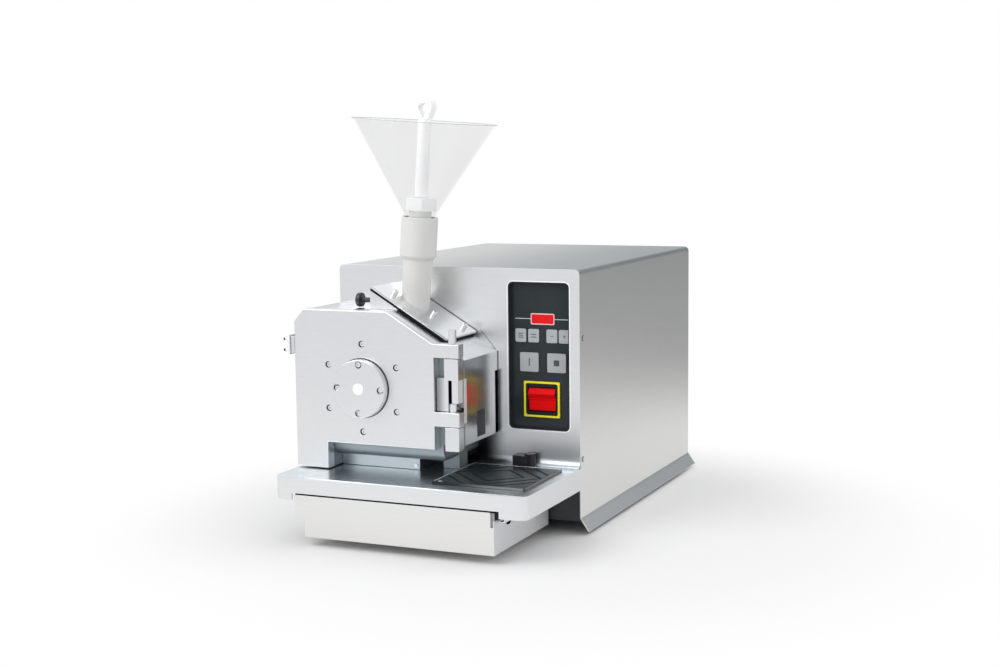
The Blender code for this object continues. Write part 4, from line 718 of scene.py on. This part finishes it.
# Hinge: its block has a grey side, a pale side and a front with painted shade darkening to the left
hingeLook = {"split": 0.2540, "bevel": 0.0006, "midRight": 0.2598, "webLow": (0.2794, -0.1262, 0.1870),
             "webHigh": (0.2799, -0.1170, 0.2545), "webEdge": 0.0002}
block = cleanCopy("hinge_block_upper")
cut(block, (0, 0, hingeLook["split"]), (0, 0, 1))
block = dressed("hinge_block_upper", block, "machinedPlate", hingeLook["bevel"])
midEnd = at(hingeLook["midRight"], 0, 0).x
for face in marked(block, "millSteel", "hingeFace", "hingeFrontPaintedShade"):
    if face.normal.x > facing and face.center.x > midEnd:
        face.material_index = 1 if face.center.z > hingeLook["split"] else 2
    elif face.normal.y < -facing and face.center.x < midEnd:
        face.material_index = 3
web = barShape(at(*hingeLook["webLow"]), at(*hingeLook["webHigh"]))
soften(web, edgesOver(web, roundAngle), hingeLook["webEdge"])
finished("hinge_web_side", web, "hingeFace", "hinge_block_upper")


# Turned pieces
def turnedPiece(node, profile, spot, along, finish, width, steps=96, closed=False):
    bm = turnedShape(profile, steps, closed)
    soften(bm, edgesOver(bm, roundAngle), width, 3)
    finished(node + "_turned", placed(bm, spot, along), finish, node, [node])


pinLook = {"radius": 0.005, "edge": 0.0007,  # and each head's radius and height
           "heads": {"hinge_pin_upper": (0.006, 0.0205), "hinge_pin_lower": (0.0055, 0.0125)}}
for node, (head, headHeight) in pinLook["heads"].items():
    low, high = boxOf(node)
    tall = high.z - low.z
    pinProfile = [(0, 0), (pinLook["radius"], 0), (pinLook["radius"], tall - headHeight),
                  (head, tall - headHeight), (head, tall), (0, tall)]
    turnedPiece(node, pinProfile, Vector((*hingeSpot.xy, low.z)), upward, "screwSteel", pinLook["edge"], 48)

footLook = {"edge": 0.0008,  # shares of the foot's radius and height, with a groove
            "rings": ((0.88, 0), (1, 0.3), (1, 0.55), (0.9, 0.62), (0.9, 0.7), (1, 0.77), (1, 1))}
for index in range(1, 5):
    node = f"foot_{index}"
    low, high = boxOf(node)
    radius = (high.x - low.x) / 2
    tall = high.z - low.z
    rings = [(radius * wide, tall * rise) for wide, rise in footLook["rings"]]
    middle = (low + high) / 2
    turnedPiece(node, [(0, 0)] + rings + [(0, tall)], Vector((*middle.xy, low.z)), upward, "blackRubber",
                footLook["edge"], 48)

knobLook = {"radius": 0.011, "thick": 0.008, "stud": 0.004, "edge": 0.0018}
knobSpot = Vector(joints["knob_turn"]["pos_m"])
knobLow, knobHigh = boxOf("lock_knob")
knobReach = knobHigh.x - knobLow.x
studEnd = knobReach - knobLook["thick"]
knobProfile = [(0, 0), (knobLook["stud"], 0), (knobLook["stud"], studEnd), (knobLook["radius"], studEnd),
               (knobLook["radius"], knobReach), (0, knobReach)]
turnedPiece("lock_knob", knobProfile, Vector((knobHigh.x, *knobSpot.yz)), (-1, 0, 0), "blackPlastic",
            knobLook["edge"], 64)
print("turned pieces made")


# Feed tube, funnel and plunger
feedLook = {"foot": (0.1636, -0.052, 0.35175), "bottom": -0.016, "root": 0.022, "neck": 0.0236,
            "bore": 0.0195, "collarLow": 0.078, "collarSlope": 0.004, "collarTop": 0.140,
            "collar": 0.0282, "socket": 0.0244, "socketDepth": 0.046, "edge": 0.0012}
feedSpot = at(*feedLook["foot"])
collarTop = feedLook["collarTop"]
socketLow = collarTop - feedLook["socketDepth"]
tubeProfile = [(feedLook["bore"], feedLook["bottom"]), (feedLook["root"], feedLook["bottom"]),
               (feedLook["root"], -feedLook["bottom"]),
               (feedLook["neck"], feedLook["collarLow"] - feedLook["collarSlope"]),
               (feedLook["collar"], feedLook["collarLow"] + feedLook["collarSlope"] / 2),
               (feedLook["collar"], collarTop), (feedLook["socket"], collarTop),
               (feedLook["socket"], socketLow), (feedLook["bore"], socketLow)]
turnedPiece("feed_tube", tubeProfile, feedSpot, feedAlong, "creamPlastic", feedLook["edge"], closed=True)

funnelLook = {"wall": 0.0016, "neck": 0.0262, "neckTop": 0.147, "rim": 0.1085, "top": 0.285, "lip": 0.0025,
              "edge": 0.0004, "band": 0.0006, "bandTall": 0.0010}
spout = feedLook["socket"] - seatGap
spoutLow = socketLow + 2 * seatGap
shoulder = collarTop + seatGap
wall = funnelLook["wall"]
rimRadius = funnelLook["rim"] + funnelLook["lip"]
rimTop = funnelLook["top"] + wall
funnelProfile = [(spout - wall, spoutLow), (spout, spoutLow), (spout, shoulder),
                 (funnelLook["neck"], shoulder), (funnelLook["neck"], funnelLook["neckTop"]),
                 (funnelLook["rim"], funnelLook["top"]), (rimRadius, funnelLook["top"]),
                 (rimRadius, rimTop), (funnelLook["rim"] - wall, rimTop),
                 (funnelLook["neck"] - wall, funnelLook["neckTop"]), (spout - wall, shoulder)]
turnedPiece("funnel", funnelProfile, feedSpot, feedAlong, "clearPlastic", funnelLook["edge"], 128, True)
rimBand = hoopShape(rimRadius, rimRadius + funnelLook["band"], rimTop - funnelLook["bandTall"], rimTop)
finished("funnel_rim_band", placed(rimBand, feedSpot, feedAlong), "clearRim", "funnel")

rodLook = {"radius": 0.010, "top": 0.290, "over": 0.001, "thick": 0.0180, "rise": 0.0158, "edge": 0.0018,
           "steps": 32, "head": (0.0150, 0.55, -0.0165, 0.0085), "hole": (0.0080, 0.85, -0.0150, 0.0006)}


def dropLoop(bm, radius, square, foot, halfFoot):
    # an arch closed below by two flanks: the lower the square value, the flatter its top
    points = [(-halfFoot, foot), (halfFoot, foot)]
    for step in range(rodLook["steps"] + 1):
        turn = pi * step / rodLook["steps"]
        wide = abs(cos(turn)) ** square * (1 if turn < pi / 2 else -1)
        points.append((radius * wide, radius * sin(turn) ** square))
    verts = [bm.verts.new((x, y, 0)) for x, y in points]
    for first, second in zip(verts, verts[1:] + verts[:1]):
        bm.edges.new((first, second))


rodLow = (boxOf("plunger_stop")[1].z + seatGap - feedSpot.z) / feedAlong.z
headAt = rodLook["top"] + rodLook["rise"]
rod = placed(drumShape(rodLook["radius"], rodLook["top"] + rodLook["over"], 64, rodLow), feedSpot, feedAlong)
handle = bmesh.new()
dropLoop(handle, *rodLook["head"])
dropLoop(handle, *rodLook["hole"])
bmesh.ops.bridge_loops(handle, edges=handle.edges[:])
raiseFaces(handle, rodLook["thick"])
soften(handle, edgesOver(handle, roundAngle), rodLook["edge"], 4)
placed(stoodUp(handle), feedSpot + feedAlong * headAt + Vector((0, rodLook["thick"] / 2, 0)))
finished("plunger_rod_ring", merged([rod, handle]), "whitePlastic", "plunger_rod", ["plunger_rod"])
print("turned and feed pieces made")


# Keypad
keyLook = {"corner": 0.0022, "edge": 0.0002, "print": 0.00008, "sunk": 0.00002}
keyMarks = {  # x, z, width and height of each bar, from the key's middle
    "key_small_1": ((0, 0.003, 0.008, 0.0012), (0, 0, 0.008, 0.0012), (0, -0.003, 0.008, 0.0012)),
    "key_small_2": ((0, 0.0022, 0.009, 0.0014), (0, -0.0022, 0.009, 0.0014)),
    "key_small_3": ((0, 0, 0.0045, 0.0011),),
    "key_small_4": ((0, 0, 0.0045, 0.0011), (0, 0, 0.0011, 0.0045)),
    "key_start": ((0, 0, 0.0018, 0.012),),
    "key_stop": ((0, 0, 0.009, 0.009),),
}


def printed(name, bars, finish, node, face):
    # thin raised bars on a face: x, z, width, height and, where they lean, a turn
    shapes = []
    for x, z, width, height, *turn in bars:
        shape = plateShape(width, height, keyLook["print"])
        for lean in turn:
            bmesh.ops.rotate(shape, cent=(0, 0, 0), matrix=Matrix.Rotation(lean, 3, "Y"), verts=shape.verts)
        shapes.append(placed(shape, Vector((x, face - keyLook["sunk"], z))))
    finished(name, merged(shapes), finish, node)


for node, marks in keyMarks.items():
    low, high = boxOf(node)
    back = backOf(node)
    cap = plateShape(high.x - low.x, high.z - low.z, high.y - low.y, keyLook["corner"])
    soften(cap, edgesOver(cap, squareAngle), keyLook["edge"])
    finished(node + "_cap", placed(cap, back), "greyKey", node, [node])
    printed(node + "_mark", [(back.x + x, back.z + z, wide, tall) for x, z, wide, tall in marks],
            "keyPrint", node, low.y)

displayLow, displayHigh = boxOf("display_window")
displayShape = {"border": 0.0016, "corner": 0.0022, "glassCorner": 0.00154, "borderDepth": 0.6,
                "edge": 0.0001}
displayBack = backOf("display_window")
wide, deep, tall = displayHigh - displayLow
bm = plateShape(wide, tall, deep * displayShape["borderDepth"], displayShape["corner"])
finished("display_border", placed(bm, displayBack), "displayRim", "display_window")
bm = plateShape(wide - 2 * displayShape["border"], tall - 2 * displayShape["border"], deep,
                displayShape["glassCorner"])
soften(bm, edgesOver(bm, squareAngle), displayShape["edge"])
finished("display_glass", placed(bm, displayBack), "displayRed", "display_window", ["display_window"])

# painted highlight: a thin white frame round the keypad opening stands for the bright edge of the panel's window
highlightRimLook = {"middle": (0.34835, -0.00005, 0.27550), "hole": (0.1017, 0.2300), "wide": 0.0016,
           "corner": 0.0080, "thick": 0.0006}
highlightFrame = frameShape([side + 2 * highlightRimLook["wide"] for side in highlightRimLook["hole"]], highlightRimLook["hole"],
                    highlightRimLook["thick"], highlightRimLook["corner"] + highlightRimLook["wide"], highlightRimLook["corner"])
finished("keypad_opening_painted_highlight", placed(highlightFrame, at(*highlightRimLook["middle"])), "whitePlastic", "front_panel")

# painted shade: dark printed lines on the panel where the chamber's back edge meets it
contactShadeLines = ((0.2639, 0.29785, 0.0440, 0.0008, 0.864), (0.2799, 0.2665, 0.0009, 0.0300))
printed("chamber_contact_shade", [(at(x, 0, 0).x, *rest) for x, *rest in contactShadeLines], "keyPrint", "front_panel",
        home.y)
displayLines = {"ends": ((0.3058, 0.3318), (0.3717, 0.3988)), "thick": 0.0011}
lineBars = [(at((low + high) / 2, 0, 0).x, displayBack.z, high - low, displayLines["thick"])
            for low, high in displayLines["ends"]]
printed("keypad_lines", lineBars, "linePrint", "keypad_panel", displayHigh.y)
print("keypad made")


# Main switch
switchLook = {"rim": 0.0031, "corner": 0.0010, "holeCorner": 0.0034, "wellCorner": 0.0006, "edge": 0.0004,
              "drop": 0.0009, "gap": 0.0002, "rocker": (0.044, 0.035), "swing": (0.0012, 0.0018),
              "wall": 0.003, "back": 0.002}
frameLow, frameHigh = boxOf("switch_frame")
seat = displayHigh.y
proud = seat - frameLow.y
deep = frameHigh.y - seat - switchLook["back"]
outer = (frameHigh.x - frameLow.x, frameHigh.z - frameLow.z)
hole = [side - 2 * switchLook["rim"] for side in outer]
insert = [side - 2 * switchLook["gap"] for side in hole]
well = [side + 2 * swing for side, swing in zip(switchLook["rocker"], switchLook["swing"])]
shell = [side + 2 * switchLook["wall"] for side in well]
middle = backOf("switch_frame")
middle.y = seat
rimShape = frameShape(outer, hole, proud, switchLook["corner"], switchLook["holeCorner"])
soften(rimShape, edgesOver(rimShape, squareAngle), switchLook["edge"])
finished("switch_frame_rim", placed(rimShape, middle), "yellowPlastic", "switch_frame", ["switch_frame"])
insertShape = frameShape(insert, well, proud - switchLook["drop"], switchLook["holeCorner"],
                         switchLook["wellCorner"])
wallShape = frameShape(shell, well, deep, switchLook["wellCorner"], switchLook["wellCorner"])
backShape = plateShape(*shell, switchLook["back"])
wellShapes = [placed(insertShape, middle), placed(wallShape, middle + Vector((0, deep, 0))),
              placed(backShape, backOf("switch_frame"))]
finished("switch_frame_well", merged(wellShapes), "blackRubber", "switch_frame")
print("switch made")


# Mat bands, set in nested squares stood on their corners
matLook = {"bands": ((0.0, 0.038), (0.045, 0.066), (0.073, 0.093), (0.100, 0.150)), "inset": 0.0008,
           "rise": 0.0005}
matLow, matHigh = boxOf("drip_mat")
half = (matHigh.x - matLow.x) / 2 - matLook["inset"]


def matBand(near, far):
    quarter = bmesh.new()
    bmesh.ops.create_grid(quarter, x_segments=1, y_segments=1, size=half / 2)
    bmesh.ops.translate(quarter, vec=(half / 2, half / 2, 0), verts=quarter.verts)
    for reach, inner in ((near, True), (far, False)):
        if 0 < reach < 2 * half:
            cut(quarter, (reach, 0, 0), (1, 1, 0), inner, not inner)
    patch = list(quarter.faces)
    for step in range(1, 4):
        extra = bmesh.ops.duplicate(quarter, geom=patch)["geom"]
        verts = [item for item in extra if isinstance(item, bmesh.types.BMVert)]
        bmesh.ops.rotate(quarter, cent=(0, 0, 0), matrix=Matrix.Rotation(step * pi / 2, 3, "Z"), verts=verts)
    raiseFaces(joined(quarter), matLook["rise"])
    return quarter


bands = merged([matBand(near, far) for near, far in matLook["bands"]])
placed(bands, Vector((*((matLow + matHigh) / 2).xy, matHigh.z)))
finished("drip_mat_bands", bands, "matRubber", "drip_mat")
trayX, trayY = screwPlaces["tray"]
screws("tray_screw", "sideScrew", [at(trayX, trayY, matHigh.z)], upward, "drip_tray")


# Painted shade in the drawer's half-round finger notch, and the pins of the mains inlet
notchLook = {"middle": (0.3644, -0.1600, 0.0640), "radius": 0.0145, "thick": 0.0008}
toRight = Matrix(((0, 0, 1, 0), (1, 0, 0, 0), (0, 1, 0, 0), (0, 0, 0, 1)))
notch = bmesh.new()
bmesh.ops.create_circle(notch, cap_ends=True, radius=notchLook["radius"], segments=48)
cut(notch, (0, 0, 0), (0, 1, 0), clearOuter=True)
raiseFaces(notch, notchLook["thick"])
bmesh.ops.transform(notch, matrix=toRight, verts=notch.verts)
finished("drawer_notch_painted_shade", placed(notch, at(*notchLook["middle"])), "paintedShadeBlack", "drawer_tray")

inletLook = {"wide": 0.002, "tall": 0.004, "long": 0.012, "inside": 0.003,
             "spots": ((-0.007, 0.0025), (0, -0.0025), (0.007, 0.0025))}
reach = Vector((inletLook["wide"] / 2, 0, inletLook["tall"] / 2))
pins = []
for x, z in inletLook["spots"]:
    root = backOf("mains_inlet") + Vector((x, -inletLook["inside"], z))
    pins.append(barShape(root - reach - Vector((0, inletLook["long"], 0)), root + reach))
finished("mains_inlet_pins", merged(pins), "polishedSteel", "mains_inlet")
print("mat, drawer and inlet details made")


# Stage, light and camera
white = rgb(1, 1, 1)
studio = {"floorSize": 14.0, "floorTone": rgb(0.77, 0.77, 0.775), "floorMirror": rgb(0.80, 0.80, 0.805),
          "nearRadius": 0.75, "farRadius": 2.1, "farTone": rgb(0.40, 0.41, 0.41),
          "farFront": rgb(0.74, 0.75, 0.76), "farSteps": (-0.4, 0.5), "shadeMiddle": (0.12, -0.12, 0.0),
          "whiteSteps": (0.38, 0.76), "ambient": rgb(0.86, 0.86, 0.86),
          "brightBack": rgb(0.97, 0.98, 0.99), "midBack": rgb(0.36, 0.385, 0.395),
          "darkBack": rgb(0.22, 0.24, 0.25), "backSteps": (-0.86, -0.56, -0.26), "backLean": 1.6,
          "frontTone": rgb(0.84, 0.85, 0.86), "frontSteps": (-0.3, 0.6)}
bm = bmesh.new()
bmesh.ops.create_grid(bm, x_segments=1, y_segments=1, size=studio["floorSize"] / 2)
mesh = bpy.data.meshes.new("floor")
bm.to_mesh(mesh)
bm.free()
floor = bpy.data.objects.new("floor", mesh)
bpy.context.scene.collection.objects.link(floor)


def floorFinish():  # white near the mill for the lens, dimmer far off for the metal
    material = bpy.data.materials.new("studioFloor")
    material.use_nodes = True
    sheet = Sheet(material.node_tree)
    sheet.tree.nodes.clear()
    distance = sheet.node("ShaderNodeVectorMath", {"operation": "DISTANCE"},
                          {0: sheet.place(), 1: studio["shadeMiddle"]}, 1)
    seen = sheet.node("ShaderNodeLightPath", out=0)
    far = sheet.ramp(distance, studio["nearRadius"], studio["farRadius"])
    away = far * (1 - seen) + sheet.ramp(distance, *studio["whiteSteps"]) * seen
    near = sheet.node("ShaderNodeBsdfDiffuse", None,
                      {"Color": sheet.mix(seen, studio["floorMirror"], studio["floorTone"])})
    mirrored = sheet.mix(sheet.ramp(sheet.axis(1), *studio["farSteps"]), studio["farFront"],
                         studio["farTone"])
    glow = sheet.node("ShaderNodeEmission", None,
                      {"Color": sheet.mix(seen, mirrored, white), "Strength": 1.0})
    whole = sheet.node("ShaderNodeMixShader", None, {0: away, 1: near, 2: glow})
    sheet.node("ShaderNodeOutputMaterial", None, {"Surface": whole})
    return material


mesh.materials.append(floorFinish())

world = bpy.data.worlds.new("studio")
world.use_nodes = True
bpy.context.scene.world = world
air = Sheet(world.node_tree)
air.tree.nodes.clear()
skyward = air.node("ShaderNodeTexCoord", out=0)
sideways, heading, height = [air.node("ShaderNodeSeparateXYZ", None, {0: skyward}, axis) for axis in range(3)]
lean = sideways - height * studio["backLean"]
nearStep, midStep, darkStep = studio["backSteps"]
behind = air.mix(air.ramp(lean, nearStep, midStep), studio["brightBack"], studio["midBack"])
behind = air.mix(air.ramp(lean, midStep, darkStep), behind, studio["darkBack"])
backdrop = air.mix(air.ramp(heading, *studio["frontSteps"]), studio["frontTone"], behind)
cameraRay, glossyRay, clearRay = [air.node("ShaderNodeLightPath", out=ray) for ray in (0, 3, 6)]
tone = air.mix(glossyRay, studio["ambient"], backdrop)
tone = air.mix(cameraRay, tone, white)
tone = air.mix(clearRay, tone, white)
background = air.node("ShaderNodeBackground", None, {"Color": tone, "Strength": 1.0})
air.node("ShaderNodeOutputWorld", None, {"Surface": background})

lamps = {  # place, side and power of each soft light
    "keyLight": {"spot": (-1.5, -2.1, 2.5), "side": 2.4, "power": 50},
    "rimLight": {"spot": (1.9, 1.2, 2.3), "side": 1.8, "power": 22},
}
lampAim = Vector((0, -0.05, 0.25))
for name, look in lamps.items():
    light = bpy.data.lights.new(name, "AREA")
    light.shape = "SQUARE"
    light.size = look["side"]
    light.energy = look["power"]
    lamp = bpy.data.objects.new(name, light)
    lamp.location = look["spot"]
    lamp.rotation_euler = (lampAim - lamp.location).to_track_quat("-Z", "Y").to_euler()
    bpy.context.scene.collection.objects.link(lamp)

lens = {"spot": (1.0566, -2.3759, 0.5979), "turn": 23.949, "dip": 6.842, "roll": -0.645, "focal": 56.15}
camera = bpy.data.objects.new("camera", bpy.data.cameras.new("camera"))
camera.data.sensor_width = 36.0
camera.data.lens = lens["focal"]
camera.matrix_world = (Matrix.Translation(lens["spot"]) @ Matrix.Rotation(radians(lens["turn"]), 4, "Z")
                       @ Matrix.Rotation(radians(90 - lens["dip"]), 4, "X")
                       @ Matrix.Rotation(radians(lens["roll"]), 4, "Z"))
bpy.context.scene.collection.objects.link(camera)
bpy.context.scene.camera = camera
bpy.context.scene.view_settings.view_transform = "Standard"
print("studio set")
